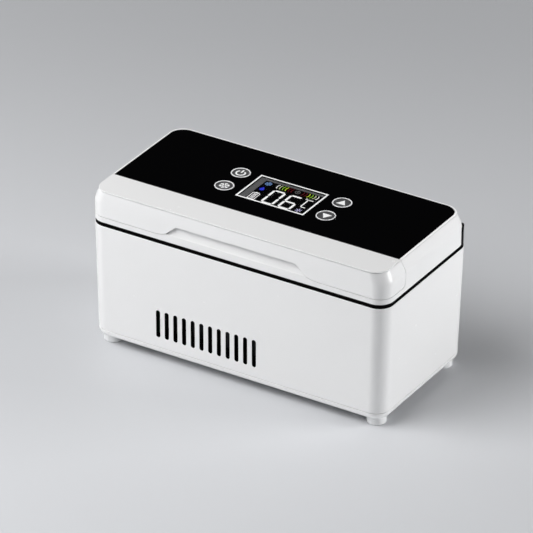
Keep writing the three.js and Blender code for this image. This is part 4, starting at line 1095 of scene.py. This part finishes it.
def glass_panel():
    """Black top panel with its window and the holes for the keys."""
    section = [(0.0, PANEL["bottom"])] + [(-inset, z) for inset, z in upper_round(TOP, PANEL["edge"])]
    made = loft("glass_panel", [[(x, y, z) for x, y in panel_outline(grow)] for grow, z in section])
    return cut(made, display_block("window", PLAY, 0.0, TOP + OVERLAP), *key_holes())


def display_line():
    """Pale line round the display, with dark sides towards the window."""
    made = display_block("display_line", 0.0, PANEL["bottom"], TOP)
    cut(made, display_block("window", -DISPLAY["line"], 0.0, TOP + OVERLAP))
    return second_finish(made, lambda face: face.center.z / MM < TOP - FIT)


def display_window():
    """Clear window with blackened sides."""
    low, high = PANEL["bottom"] + GAP, TOP - DISPLAY["lens_drop"]
    made = display_block("display_window", -DISPLAY["line"] - PLAY, low, high)
    return second_finish(made, lambda face: low + FIT < face.center.z / MM < high - FIT)


# Flat marks on the display and the keys

def raised(bm, outline, z0, z1, finish=0):
    """Adds a low closed form with an outline of (x, y) points to a mesh."""
    low = [bm.verts.new(Vector((x, y, z0)) * MM) for x, y in outline]
    high = [bm.verts.new(Vector((x, y, z1)) * MM) for x, y in outline]
    faces = [bm.faces.new(list(reversed(low))), bm.faces.new(high)]
    for j in range(len(low)):
        k = (j + 1) % len(low)
        faces.append(bm.faces.new((low[j], low[k], high[k], high[j])))
    for face in faces:
        face.material_index = finish


def stroke(start, end, width):
    """Outline of a straight stroke with square ends."""
    along = (Vector(end) - Vector(start)).normalized() * width / 2
    across = Vector((-along.y, along.x))
    return [tuple(p) for p in (Vector(start) - across, Vector(end) - across, Vector(end) + across,
                               Vector(start) + across)]


def segment(start, end, width):
    """Outline of a display segment with pointed ends, a little short of both corners."""
    along = (Vector(end) - Vector(start)).normalized()
    across = Vector((-along.y, along.x)) * width / 2
    tip = along * width * SEGMENT_GAP
    first, last = Vector(start) + tip, Vector(end) - tip
    shoulder = along * width / 2
    return [tuple(p) for p in (first, first + shoulder - across, last - shoulder - across, last,
                               last - shoulder + across, first + shoulder + across)]


def arc(x, y, radius, start, end, steps=CURVE_STEPS):
    """Points along an arc, with its angles in degrees."""
    angles = [math.radians(start + (end - start) * i / steps) for i in range(steps + 1)]
    return [(x + radius * math.cos(a), y + radius * math.sin(a)) for a in angles]


def band(x, y, radius, width, start, end):
    """Outline of a stroke along an arc, with its angles in degrees."""
    return arc(x, y, radius + width / 2, start, end) + arc(x, y, radius - width / 2, start, end)[::-1]


# Ice crystal: where arms begin in stroke widths, the fork, and its twigs' angle, beginning, reach and width
FLAKE = {"hub": 0.9, "fork": 0.58, "spread": 0.9, "twig_from": 0.6, "twig_reach": 0.42, "twig_width": 0.8}


def flake(x, y, radius, width, twigs=True):
    """Strokes of a six-armed ice crystal, with a pair of twigs on each arm if asked."""
    strokes = []
    centre = Vector((x, y))
    for arm in range(6):
        turn = math.pi / 3 * arm + math.pi / 2
        out = Vector((math.cos(turn), math.sin(turn)))
        fork = centre + out * radius * FLAKE["fork"]
        strokes.append(stroke(centre + out * width * FLAKE["hub"], centre + out * radius, width))
        for side in (-1, 1) if twigs else ():
            lean = turn + side * FLAKE["spread"]
            twig = Vector((math.cos(lean), math.sin(lean)))
            strokes.append(stroke(fork + twig * width * FLAKE["twig_from"],
                                  fork + twig * radius * FLAKE["twig_reach"], width * FLAKE["twig_width"]))
    return strokes


# Seven-segment digits: which strokes each figure lights
SEGMENT_GAP = 0.12
FIGURES = ("abcdef", "bc", "abdeg", "abcdg", "bcfg", "acdfg", "acdefg", "abc", "abcdefg", "abcdfg")
DIGIT = {"x": (-7.7, 3.6), "bottom": -9.6, "width": 8.6, "height": 17.0, "stroke": 1.45}


def figure(value, x):
    """Outlines of one digit's lit segments."""
    half = DIGIT["stroke"] / 2
    left, right = x + half, x + DIGIT["width"] - half
    low, high = DIGIT["bottom"] + half, DIGIT["bottom"] + DIGIT["height"] - half
    middle = (low + high) / 2
    ends = {"a": ((left, high), (right, high)), "b": ((right, middle), (right, high)),
            "c": ((right, low), (right, middle)), "d": ((left, low), (right, low)),
            "e": ((left, low), (left, middle)), "f": ((left, middle), (left, high)),
            "g": ((left, middle), (right, middle))}
    return [segment(*ends[letter], DIGIT["stroke"]) for letter in FIGURES[value]]


# Places on the display, in the panel's plan
BATTERY = {"x": -14.3, "half": 2.5, "bottom": -9.4, "top": -1.3, "line": 0.5, "bars": (-0.9, 0.0, 0.9),
           "bar": 0.45, "cap": 1.2}
DROP = {"x": -14.4, "y": 4.1, "radius": 1.5, "tip": 2.8, "from": -215, "to": 35, "steps": 24}
CRYSTAL = {"x": -14.3, "y": 11.6, "radius": 2.2, "line": 0.3}
DEGREE = {"x": 14.3, "y": 7.3, "radius": 0.6, "line": 0.35, "from": 0, "to": 178}
LETTER = {"left": 15.6, "right": 19.0, "bottom": -2.4, "top": 7.0, "line": 0.75}
SPARK = {"x": 16.9, "y": -6.7, "radius": 2.1, "line": 0.45}
GAUGE = {"x": 5.4, "y": 11.7, "radius": 4.4, "half_angle": 31.0, "line": 0.5, "first": 3.9, "pitch": 1.96}
DIAL = {"radius": 1.5, "line": 0.45, "from": 40, "to": 200, "hand_low": 0.9, "hand_high": 2.2}
SCREEN = {"left": -17.6, "right": 21.6, "front": -11.5, "rear": 14.7}
MARK_RISE = 0.05

# Glowing colours of the display, linear red, green and blue
GLOW = {
    "white": (1.0, 1.0, 1.0),
    "ice": (0.20, 0.36, 0.70),
    "blue": (0.02, 0.035, 0.65),
    "green": (0.24, 0.54, 0.03),
    "lime": (0.52, 0.66, 0.03),
    "pale": (0.60, 0.66, 0.40),
    "red": (0.09, 0.0, 0.002),
    "grey": (0.12, 0.12, 0.12),
    "violet": (0.55, 0.52, 0.80),
}
GLOW_STRENGTH = 1.15
BORDER_PAINTED_LIGHT_STRENGTH = 1.0
GAUGE_COLOURS = ("red", "red", "lime", "green", "pale", "white")


def battery_outlines():
    """Outlines of the battery mark: its case, its cap and its bars."""
    x, low, high, line = pick(BATTERY, "x", "bottom", "top", "line")
    side = BATTERY["half"] - line / 2
    outlines = [stroke((edge, low), (edge, high - line), line) for edge in (x - side, x + side)]
    for half, level in ((side, low + line / 2), (side, high - line / 2), (BATTERY["cap"], high + line / 2)):
        outlines.append(stroke((x - half, level), (x + half, level), line))
    for bar in BATTERY["bars"]:
        outlines.append(stroke((x + bar, low + 2 * line), (x + bar, high - 2 * line), BATTERY["bar"]))
    return outlines


def letter_outlines():
    """Outlines of the three strokes of the unit's letter."""
    left, right, low, high, line = pick(LETTER, "left", "right", "bottom", "top", "line")
    ends = (((left, low), (left, high)), ((left, low), (right, low)), ((left, high), (right, high)))
    return [segment(start, end, line) for start, end in ends]


def display_outlines():
    """Outlines of all lit marks, listed by colour."""
    marks = {name: [] for name in GLOW}
    for place, value in zip(DIGIT["x"], divmod(sizes().number, 10)):
        marks["white"] += figure(value, place)
    marks["white"] += battery_outlines() + letter_outlines()
    x, y = GAUGE["x"], GAUGE["y"]
    for half_turn in (0, 180):
        marks["white"].append(band(*pick(DEGREE, "x", "y", "radius", "line"),
                                   half_turn + DEGREE["from"], half_turn + DEGREE["to"]))
        marks["grey"].append(band(x, y, DIAL["radius"], DIAL["line"],
                                  half_turn + DIAL["from"], half_turn + DIAL["to"]))
    marks["grey"].append(stroke((x, y - DIAL["hand_low"]), (x, y + DIAL["hand_high"]), DIAL["line"]))
    marks["ice"] += flake(*pick(CRYSTAL, "x", "y", "radius", "line"))
    marks["violet"] += flake(*pick(SPARK, "x", "y", "radius", "line"), twigs=False)
    drop = arc(*pick(DROP, "x", "y", "radius", "from", "to", "steps"))
    marks["blue"].append(drop + [(DROP["x"], DROP["y"] + DROP["tip"])])
    for step, colour in enumerate(GAUGE_COLOURS):
        reach = GAUGE["first"] + step * GAUGE["pitch"]
        for side, middle in ((-1, 180), (1, 0)):
            centre = x + side * (reach - GAUGE["radius"])
            marks[colour].append(band(centre, y, GAUGE["radius"], GAUGE["line"],
                                      middle - GAUGE["half_angle"], middle + GAUGE["half_angle"]))
    return marks


def display_marks():
    """Lit marks, a little above the display's field, each with the finish of its colour."""
    bm = bmesh.new()
    low = LCD["top"] + 2 * MARK_RISE
    for index, outlines in enumerate(display_outlines().values()):
        for outline in outlines:
            raised(bm, outline, low, low + MARK_RISE, index)
    return mesh_object("display_marks", bm)


def display_face():
    """Display module: its case, and the pale border of its face, which glows partly as the backlight's bleed
    and partly as painted light in place of lamplight through the window.
    """
    x, y, half_y = LCD["x"], DISPLAY["y"], LCD["half_y"]
    made = block("display_face", -x, x, y - half_y, y + half_y, LCD["bottom"], LCD["shoulder"])
    join(made, display_block("face", -DISPLAY["line"], LCD["shoulder"] - OVERLAP, LCD["top"]))
    return second_finish(made, lambda face: face.center.z / MM > LCD["top"] - FIT)


def display_field():
    """Dark field behind the marks."""
    left, right, front, rear = pick(SCREEN, "left", "right", "front", "rear")
    bm = bmesh.new()
    raised(bm, [(left, front), (right, front), (right, rear), (left, rear)],
           LCD["top"] + MARK_RISE / 2, LCD["top"] + MARK_RISE)
    return mesh_object("display_field", bm)


# Keys, with the order of their finishes

FACE, RING, SIGN = range(3)
KEY_RING = {"width": 0.75, "round": 0.25, "gap": 0.45, "gap_depth": 0.9}
KEY_FACE = {"drop": 0.35, "edge_drop": 0.1, "edge_in": 0.12, "ridges": 5, "ridge": 0.045, "growth": 3}
KEY_SIGN = {"rise": 0.07, "line": 1.05}
POWER_SIGN = {"drop": 0.2, "radius": 2.75, "from": 130, "to": 410, "bar_low": 0.3, "bar_high": 3.6}
FLAKE_SIGN = {"radius": 3.2, "line": 0.7}
ARROW_SIGN = {"half": 3.1, "foot": 2.0, "tip": 3.0}
RIDGE_STEPS = 4


def key_profile():
    """Profile of a key from the end of its stem to the middle of its face, and the finish of each stretch."""
    radius, top, soft = KEY["radius"], KEY["top"], KEY_RING["round"]
    stem, flange, rise = KEY_UNDER["stem"], KEY_UNDER["flange"], KEY_UNDER["flange_top"]
    low = rise - KEY_UNDER["flange_height"]
    points = [(0, KEY_UNDER["stem_end"]), (stem, KEY_UNDER["stem_end"]), (stem, low), (flange, low),
              (flange, rise), (radius, rise)]
    finishes = [FACE] * len(points)
    inner = radius - KEY_RING["width"]
    outside = upper_round(top, soft)
    ring_points = [(radius - inset, z) for inset, z in outside]
    ring_points += [(inner + inset, z) for inset, z in reversed(outside)]
    points += ring_points
    finishes += [RING] * (len(ring_points) - 1)
    face_z = top - KEY_FACE["drop"]
    rim = inner - KEY_RING["gap"]
    gap_z = face_z - KEY_RING["gap_depth"]
    points += [(inner, gap_z), (rim, gap_z), (rim, face_z - KEY_FACE["edge_drop"])]
    steps = KEY_FACE["ridges"] * RIDGE_STEPS
    for i in range(steps):
        share = 1 - i / steps
        wave = KEY_FACE["ridge"] * math.sin(2 * math.pi * i / RIDGE_STEPS)
        height = wave * min(1.0, KEY_FACE["growth"] * share)
        points.append(((rim - KEY_FACE["edge_in"]) * share, face_z + height))
    points.append((0, face_z))
    finishes += [FACE] * (len(points) - 1 - len(finishes))
    return points, finishes


def key_sign(name, x, y):
    """Outlines of the sign on one key: the power mark, an ice crystal, or an arrow up or down."""
    if name == "power":
        power, line = POWER_SIGN, KEY_SIGN["line"]
        return [band(x, y - power["drop"], power["radius"], line, power["from"], power["to"]),
                stroke((x, y + power["bar_low"]), (x, y + power["bar_high"]), line)]
    if name == "mode":
        return flake(x, y, *pick(FLAKE_SIGN, "radius", "line"))
    way = 1 if name == "up" else -1
    half, foot, tip = (way * value for value in pick(ARROW_SIGN, "half", "foot", "tip"))
    return [[(x - half, y - foot), (x + half, y - foot), (x, y + tip)]]


def press_key(name, x, y):
    """Key with a pale ring, a ridged dark face and a raised white sign."""
    points, finishes = key_profile()
    made = turned("press_key_" + name, points, x, y, finishes=finishes)
    bm = bmesh.new()
    bm.from_mesh(made.data)
    face_z = KEY["top"] - KEY_FACE["drop"]
    for outline in key_sign(name, x, y):
        raised(bm, outline, face_z - KEY_FACE["ridge"], face_z + KEY_SIGN["rise"], SIGN)
    bm.to_mesh(made.data)
    bm.free()
    return made


# Chamber, collar and underside of the lid

def cold_tub():
    """Pressed metal tub with a rounded floor edge and a flange."""
    sheet, bend, flange, floor, top = pick(CHAMBER, "sheet", "bend", "flange", "floor", "top")
    lip, lip_round, turns = CHAMBER["lip"], CHAMBER["lip_round"], quarter(TUB_STEPS)
    outside = [(sheet - bend * (1 - math.sin(a)), floor - sheet + bend * (1 - math.cos(a))) for a in turns]
    inner_bend = bend - sheet
    inside = [(-inner_bend * (1 - math.sin(a)), floor + inner_bend * (1 - math.cos(a))) for a in turns]
    section = outside + [(sheet, top - sheet), (flange, top - sheet), (flange, top), (lip, top),
                         (lip_round, top - lip_round), (0.0, top - lip)] + inside[::-1]
    return loft("cold_tub", [centred_ring(CHAMBER["x"], CHAMBER["y"], CHAMBER["corner"], -grow, z)
                             for grow, z in section])


def mouth_collar():
    """Flat collar round the mouth of the chamber, with a softened inner edge."""
    x, y, radius, low, high = pick(COLLAR, "x", "y", "corner", "bottom", "top")
    outer = [centred_ring(x, y, radius, 0.0, z) for z in (low, high)]
    section = [*reversed(upper_round(high, COLLAR["edge"])), (0.0, low)]
    x, y, radius = COLLAR["open_x"], COLLAR["open_y"], CHAMBER["corner"]
    inner = [centred_ring(x, y, radius, -grow, z) for grow, z in section]
    return loft("mouth_collar", outer + inner, around=True)


def lid_inner_cover():
    """Inner cover of the lid with the hollow plug that enters the chamber mouth."""
    x, front, rear, radius, soft = pick(LINER, "x", "front", "rear", "corner", "edge")
    made = plate("lid_inner_cover", x, front, rear, radius, LID_BOTTOM, LINER["top"], soft)
    x, y, low, skin = pick(PLUG, "x", "y", "bottom", "skin")
    section = lower_round(low, PLUG["edge"]) + [(0.0, LINER["top"] - FIT)]
    join(made, loft("plug", [centred_ring(x, y, CHAMBER["corner"], i, z) for i, z in section]))
    hollow = plate("hollow", x - skin, skin - y, y - skin, PLUG["hollow_corner"], low + skin, TOP)
    sink_top = LID_BOTTOM + LID_SCREW["head_height"]
    sinks = []
    for sx, sy in lid_screw_places():
        sinks.append(post("sink", sx, sy, LID_SCREW["head"] + FIT, 0.0, sink_top))
        sinks.append(post("hole", sx, sy, LID_SCREW["shank"] + FIT, 0.0, TOP))
    return cut(made, hollow, *sinks)


def lid_seal():
    """Soft ring with a rounded lip that meets the collar."""
    x, y, width, radius, low, soft = pick(GASKET, "x", "y", "width", "corner", "bottom", "edge")
    high = LID_BOTTOM - GAP
    outside = lower_round(low, soft) + [(0.0, high)]
    inside = [(width, high)] + [(width - i, z) for i, z in reversed(lower_round(low, soft))]
    return loft("lid_seal", [centred_ring(x, y, radius, i, z) for i, z in outside + inside], around=True)


def magnet_pair(name, z):
    """Two disc magnets with softened edges."""
    radius, height, soft = MAGNET["radius"], MAGNET["height"], MAGNET["edge"]
    rounded = [(radius - i, h) for i, h in lower_round(z, soft) + upper_round(z + height, soft)]
    piece = turned("magnet", [(0, z), *rounded, (0, z + height)], steps=TURN_STEPS // 2)
    return copies(name, piece, 2, 1, (-MAGNET["x"], MAGNET["y"], 0), (2 * MAGNET["x"], 0, 0),
                  finish_named("bright_steel"))


# Classes in the order that they are registered
CLASSES = [CaseSizes, CaseColours]


def operator(kind):
    """Adds an operator class to the list that is registered."""
    CLASSES.append(kind)
    return kind


@operator
class CASE_OT_body(bpy.types.Operator):
    """Outer shell with its air slots, and the base tray"""

    bl_idname = "case.body"
    bl_label = "Body"

    def execute(self, context):
        dress(outer_shell(), "case", "white_abs", ["white_plastic", "dead_black"], "body_shell")
        dress(base_tray(), "case", "white_abs", ["white_plastic", "dead_black"], "base_cover")
        return {"FINISHED"}


@operator
class CASE_OT_feet(bpy.types.Operator):
    """Clear feet and the screws of the base"""

    bl_idname = "case.feet"
    bl_label = "Feet and base screws"

    def execute(self, context):
        dress(clear_feet(), "case", "clear_plastic", [], *["foot_" + c for c in CORNERS])
        x, y, head, shank, top, tip = pick(BASE_SCREW, "x", "y", "head", "shank", "top", "tip")
        screw = cross_screw("screw", FOOT_TOP + FIT, top, tip, head, shank)
        made = at_corners("base_screws", screw, x, -y, y, "bright_steel")
        dress(made, "case", "steel", [], *["base_screw_" + c for c in CORNERS])
        return {"FINISHED"}


@operator
class CASE_OT_hinge(bpy.types.Operator):
    """Black frame on the rim of the body, with its hinge bar"""

    bl_idname = "case.hinge"
    bl_label = "Hinge frame"

    def execute(self, context):
        dress(rim_frame(), "case", "black_plastic", ["satin_black", "dead_black"], "hinge_frame")
        return {"FINISHED"}


@operator
class CASE_OT_lid(bpy.types.Operator):
    """Lid body and front visor with the finger pull"""

    bl_idname = "case.lid"
    bl_label = "Lid"

    def execute(self, context):
        dress(lid_body(), "lid", "white_abs", ["white_plastic", "edge_painted_highlight"], "lid_shell")
        dress(front_visor(), "lid", "white_abs", ["white_plastic"], "lid_visor")
        return {"FINISHED"}


@operator
class CASE_OT_panel(bpy.types.Operator):
    """Black top panel and the display in it"""

    bl_idname = "case.panel"
    bl_label = "Panel and display"

    def execute(self, context):
        # The border's glow is partly backlight bleed and partly painted light in place of lamplight through
        # the window
        glowing("display_border_painted_light", colours().border, BORDER_PAINTED_LIGHT_STRENGTH)
        for name, colour in GLOW.items():
            glowing("glow_" + name, colour, GLOW_STRENGTH)
        dress(glass_panel(), "lid", "black_acrylic", ["gloss_black"], "top_panel")
        dress(display_line(), "lid", "trim_white", ["trim_line", "dead_black"], "display_bezel")
        dress(display_window(), "lid", "display_glass", ["window_clear", "dead_black"], "display_lens")
        dress(display_face(), "lid", "display_dark", ["satin_black", "display_border_painted_light"], "lcd_module")
        dress(display_field(), "lid", "display_dark", ["dead_black"])
        dress(display_marks(), "lid", "display_dark", ["glow_" + name for name in GLOW])
        return {"FINISHED"}


@operator
class CASE_OT_keys(bpy.types.Operator):
    """Four round keys beside the display"""

    bl_idname = "case.keys"
    bl_label = "Keys"

    def execute(self, context):
        for name, (x, y) in key_places().items():
            dress(press_key(name, x, y), name + "_key", "key_grey", ["key_face", "key_ring", "key_sign"],
                  "key_" + name)
        return {"FINISHED"}


@operator
class CASE_OT_chamber(bpy.types.Operator):
    """Cold chamber, its collar, and the cover, seal, screws and magnets under the lid"""

    bl_idname = "case.chamber"
    bl_label = "Chamber"

    def execute(self, context):
        dress(cold_tub(), "case", "aluminium", ["drawn_aluminium"], "cold_liner")
        dress(mouth_collar(), "case", "white_abs", ["white_plastic"], "chamber_collar")
        dress(lid_inner_cover(), "lid", "white_abs", ["white_plastic"], "lid_liner")
        dress(lid_seal(), "lid", "silicone", ["soft_silicone"], "lid_gasket")
        x, front, rear = pick(LID_SCREW, "x", "front", "rear")
        height, tip, head, shank = pick(LID_SCREW, "head_height", "tip", "head", "shank")
        head_z = LID_BOTTOM - GAP
        screw = cross_screw("screw", head_z, head_z + height, tip, head, shank)
        screws = at_corners("lid_screws", screw, x, front, rear, "bright_steel")
        dress(screws, "lid", "steel", [], *["lid_screw_" + c for c in CORNERS])
        dress(magnet_pair("frame_magnets", FRAME_TOP - MAGNET["height"]), "case", "steel", [],
              *["frame_magnet_" + s for s in SIDES])
        dress(magnet_pair("lid_magnets", LID_BOTTOM), "lid", "steel", [], *["lid_magnet_" + s for s in SIDES])
        return {"FINISHED"}


# Finishes of the solids that are shown as they are. The heat sink keeps its own plain black
WORKS = {
    "hinge_pin_left hinge_pin_right": "bright_steel",
    "insulation_tub lid_insulation": "bead_foam",
    "cold_block": "drawn_aluminium",
    "peltier_module": "pale_ceramic",
    "main_board control_board": "green_board",
    "battery_cell_front battery_cell_middle battery_cell_rear": "cell_sleeve",
    "temperature_sensor fan_frame fan_rotor battery_cradle dc_jack": "satin_black",
    "key_switch_power key_switch_mode key_switch_up key_switch_down": "satin_black",
}


@operator
class CASE_OT_works(bpy.types.Operator):
    """Finishes of the parts inside the case"""

    bl_idname = "case.works"
    bl_label = "Inner parts"

    def execute(self, context):
        for names, finish in WORKS.items():
            for name in names.split():
                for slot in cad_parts[name].material_slots:
                    slot.material = finish_named(finish)
        return {"FINISHED"}


# Stage

CAMERA = {"azimuth": 30.977, "elevation": 29.074, "roll": 0.6385, "distance": 3166.66, "focal_px": 5411.79,
          "aim": (0.0, 0.0, 46.5), "shift_right": 6.917, "shift_up": 9.046}
FRAME_PX = 533
SENSOR = 36.0
CLIP = (0.05, 50.0)


def direction(around, up):
    """Direction in degrees round from the front and up from the floor."""
    turn, rise = math.radians(around), math.radians(up)
    return Vector((math.sin(turn) * math.cos(rise), -math.cos(turn) * math.cos(rise), math.sin(rise)))


def photo_camera():
    """Camera at the photograph's angle, distance and field of view."""
    back = direction(CAMERA["azimuth"], CAMERA["elevation"])
    roll = math.radians(CAMERA["roll"])
    level = (-back).cross(Vector((0.0, 0.0, 1.0))).normalized()
    rise = level.cross(-back)
    right = level * math.cos(roll) + rise * math.sin(roll)
    up = rise * math.cos(roll) - level * math.sin(roll)
    aim = Vector(CAMERA["aim"]) - right * CAMERA["shift_right"] + up * CAMERA["shift_up"]
    place = aim + back * CAMERA["distance"]
    lens = bpy.data.cameras.new("photo_camera")
    lens.sensor_width = SENSOR
    lens.lens = SENSOR * CAMERA["focal_px"] / FRAME_PX
    lens.clip_start, lens.clip_end = CLIP
    made = new_object("photo_camera", lens)
    turn = Matrix((right, up, back)).transposed().to_4x4()
    made.matrix_world = Matrix.Translation(place * MM) @ turn
    bpy.context.scene.camera = made


# Floor: metres from the middle where it fades into the backdrop, half its size in millimetres, its roughness,
# and the ray depth under which light comes straight from a lamp
BACKDROP = (0.60, 0.61, 0.63, 1.0)
FLOOR_FADE = {"start": 0.35, "end": 1.1, "half": 6000.0}
FLOOR_ROUGHNESS = 0.6
FIRST_BOUNCE = 1.5


def floor_finish():
    """Pale ground that fades into the plain backdrop, in mirrors and glass too. It is clear from below, and
    lets the lamp under it through, so that the underside can be seen."""
    made, tree, shader = new_finish("pale_floor")
    fill(shader, {"Base Color": BACKDROP, "Roughness": FLOOR_ROUGHNESS})
    path = tree.nodes.new("ShaderNodeLightPath").outputs
    place = tree.nodes.new("ShaderNodeNewGeometry").outputs
    reach = node(tree, "ShaderNodeVectorMath", {0: place["Position"]}, operation="LENGTH").outputs["Value"]
    fade = node(tree, "ShaderNodeMapRange", {"Value": reach, 1: FLOOR_FADE["start"], 2: FLOOR_FADE["end"]},
                interpolation_type="SMOOTHSTEP").outputs[0]
    mirrored = maths(tree, "MAXIMUM", path["Is Glossy Ray"], path["Is Transmission Ray"])
    looking = maths(tree, "MAXIMUM", path["Is Camera Ray"], mirrored)
    seen = maths(tree, "MULTIPLY", fade, looking)
    plain = node(tree, "ShaderNodeEmission", {"Color": BACKDROP})
    far = node(tree, "ShaderNodeMixShader", {"Fac": seen, 1: shader.outputs[0], 2: plain.outputs[0]})
    clear = tree.nodes.new("ShaderNodeBsdfTransparent")
    first = maths(tree, "LESS_THAN", path["Ray Depth"], FIRST_BOUNCE)
    lamp_way = maths(tree, "MULTIPLY", first, path["Is Shadow Ray"])
    open_way = maths(tree, "MAXIMUM", place["Backfacing"], lamp_way)
    mix = node(tree, "ShaderNodeMixShader", {"Fac": open_way, 1: far.outputs[0], 2: clear.outputs[0]})
    tree.links.new(mix.outputs[0], tree.nodes["Material Output"].inputs["Surface"])
    return made


def pale_floor():
    """Square floor that shows the object's shadow."""
    half = FLOOR_FADE["half"]
    square = ((-half, -half, 0), (half, -half, 0), (half, half, 0), (-half, half, 0))
    mesh = bpy.data.meshes.new("floor")
    mesh.from_pydata([Vector(p) * MM for p in square], [], [range(len(square))])
    mesh.materials.append(floor_finish())
    floor = new_object("floor", mesh)


# Soft lamps: degrees round from the front and up from the floor, metres away and across, and watts
LAMPS = {
    "key_softbox": {"round": -38.0, "up": 55.0, "away": 1.0, "across": 0.7, "power": 9.6},
    "low_softbox": {"round": -50.0, "up": 25.0, "away": 1.0, "across": 0.7, "power": 3.2},
    "side_softbox": {"round": 115.0, "up": 14.0, "away": 1.0, "across": 0.45, "power": 7.4},
    "under_softbox": {"round": 0.0, "up": -75.0, "away": 1.0, "across": 0.7, "power": 4.0},
}
LAMP_AIM = Vector((0.0, 0.0, 0.05))


def softbox(name, lamp):
    """Square area lamp that faces the object."""
    out = direction(lamp["round"], lamp["up"])
    light = bpy.data.lights.new(name, "AREA")
    light.size = lamp["across"]
    light.energy = lamp["power"]
    made = new_object(name, light)
    made.location = LAMP_AIM + out * lamp["away"]
    made.rotation_euler = (-out).to_track_quat("-Z", "Y").to_euler()


# Colours of the surroundings by the sine of the height above the horizon
AIR = ((0.0, (0.0, 0.0, 0.0)), (0.02, (0.32, 0.325, 0.335)), (0.12, (0.32, 0.325, 0.335)),
       (0.34, (0.008, 0.008, 0.0085)))


def studio_air():
    """Studio surroundings: pale at the horizon and dark overhead, behind a plain backdrop."""
    world = bpy.data.worlds.new("studio")
    world.use_nodes = True
    tree = world.node_tree
    place = tree.nodes.new("ShaderNodeTexCoord").outputs["Generated"]
    height = node(tree, "ShaderNodeSeparateXYZ", {0: place}).outputs["Z"]
    ramp = node(tree, "ShaderNodeValToRGB", {0: height})
    stops = ramp.color_ramp.elements
    while len(stops) < len(AIR):
        stops.new(1.0)
    for stop, (position, colour) in zip(stops, AIR):
        stop.position = position
        stop.color = (*colour, 1.0)
    seen = tree.nodes.new("ShaderNodeLightPath").outputs["Is Camera Ray"]
    shown = mixed(tree, seen, ramp.outputs[0], BACKDROP)
    tree.links.new(shown, tree.nodes["Background"].inputs["Color"])
    bpy.context.scene.world = world


@operator
class CASE_OT_stage(bpy.types.Operator):
    """Pale floor, soft lamps and the camera at the photograph's angle"""

    bl_idname = "case.stage"
    bl_label = "Stage"

    def execute(self, context):
        context.scene.view_settings.view_transform = "Standard"
        photo_camera()
        pale_floor()
        studio_air()
        for name, lamp in LAMPS.items():
            softbox(name, lamp)
        return {"FINISHED"}


class CASE_PT_panel(bpy.types.Panel):
    """Lists the sizes, the colours and the steps that build the case"""

    bl_label = "Cooling Case"
    bl_space_type = "VIEW_3D"
    bl_region_type = "UI"
    bl_category = "Cooling Case"

    def draw(self, context):
        for group in (context.scene.case_sizes, context.scene.case_colours):
            for key in group.bl_rna.properties.keys():
                if key not in ("rna_type", "name"):
                    self.layout.prop(group, key)
        for step in STEPS:
            self.layout.operator("case." + step)


STEPS = ("body", "feet", "hinge", "lid", "panel", "keys", "chamber", "works", "stage")
CLASSES.append(CASE_PT_panel)


def register():
    """Makes the classes, the sizes and the colours known."""
    for kind in CLASSES:
        bpy.utils.register_class(kind)
    bpy.types.Scene.case_sizes = PointerProperty(type=CaseSizes)
    bpy.types.Scene.case_colours = PointerProperty(type=CaseColours)


def unregister():
    """Takes back what was made known."""
    del bpy.types.Scene.case_colours
    del bpy.types.Scene.case_sizes
    for kind in reversed(CLASSES):
        bpy.utils.unregister_class(kind)


def main():
    """Builds the case step by step."""
    register()
    for step in STEPS:
        getattr(bpy.ops.case, step)()


if __name__ == "__main__":
    main()
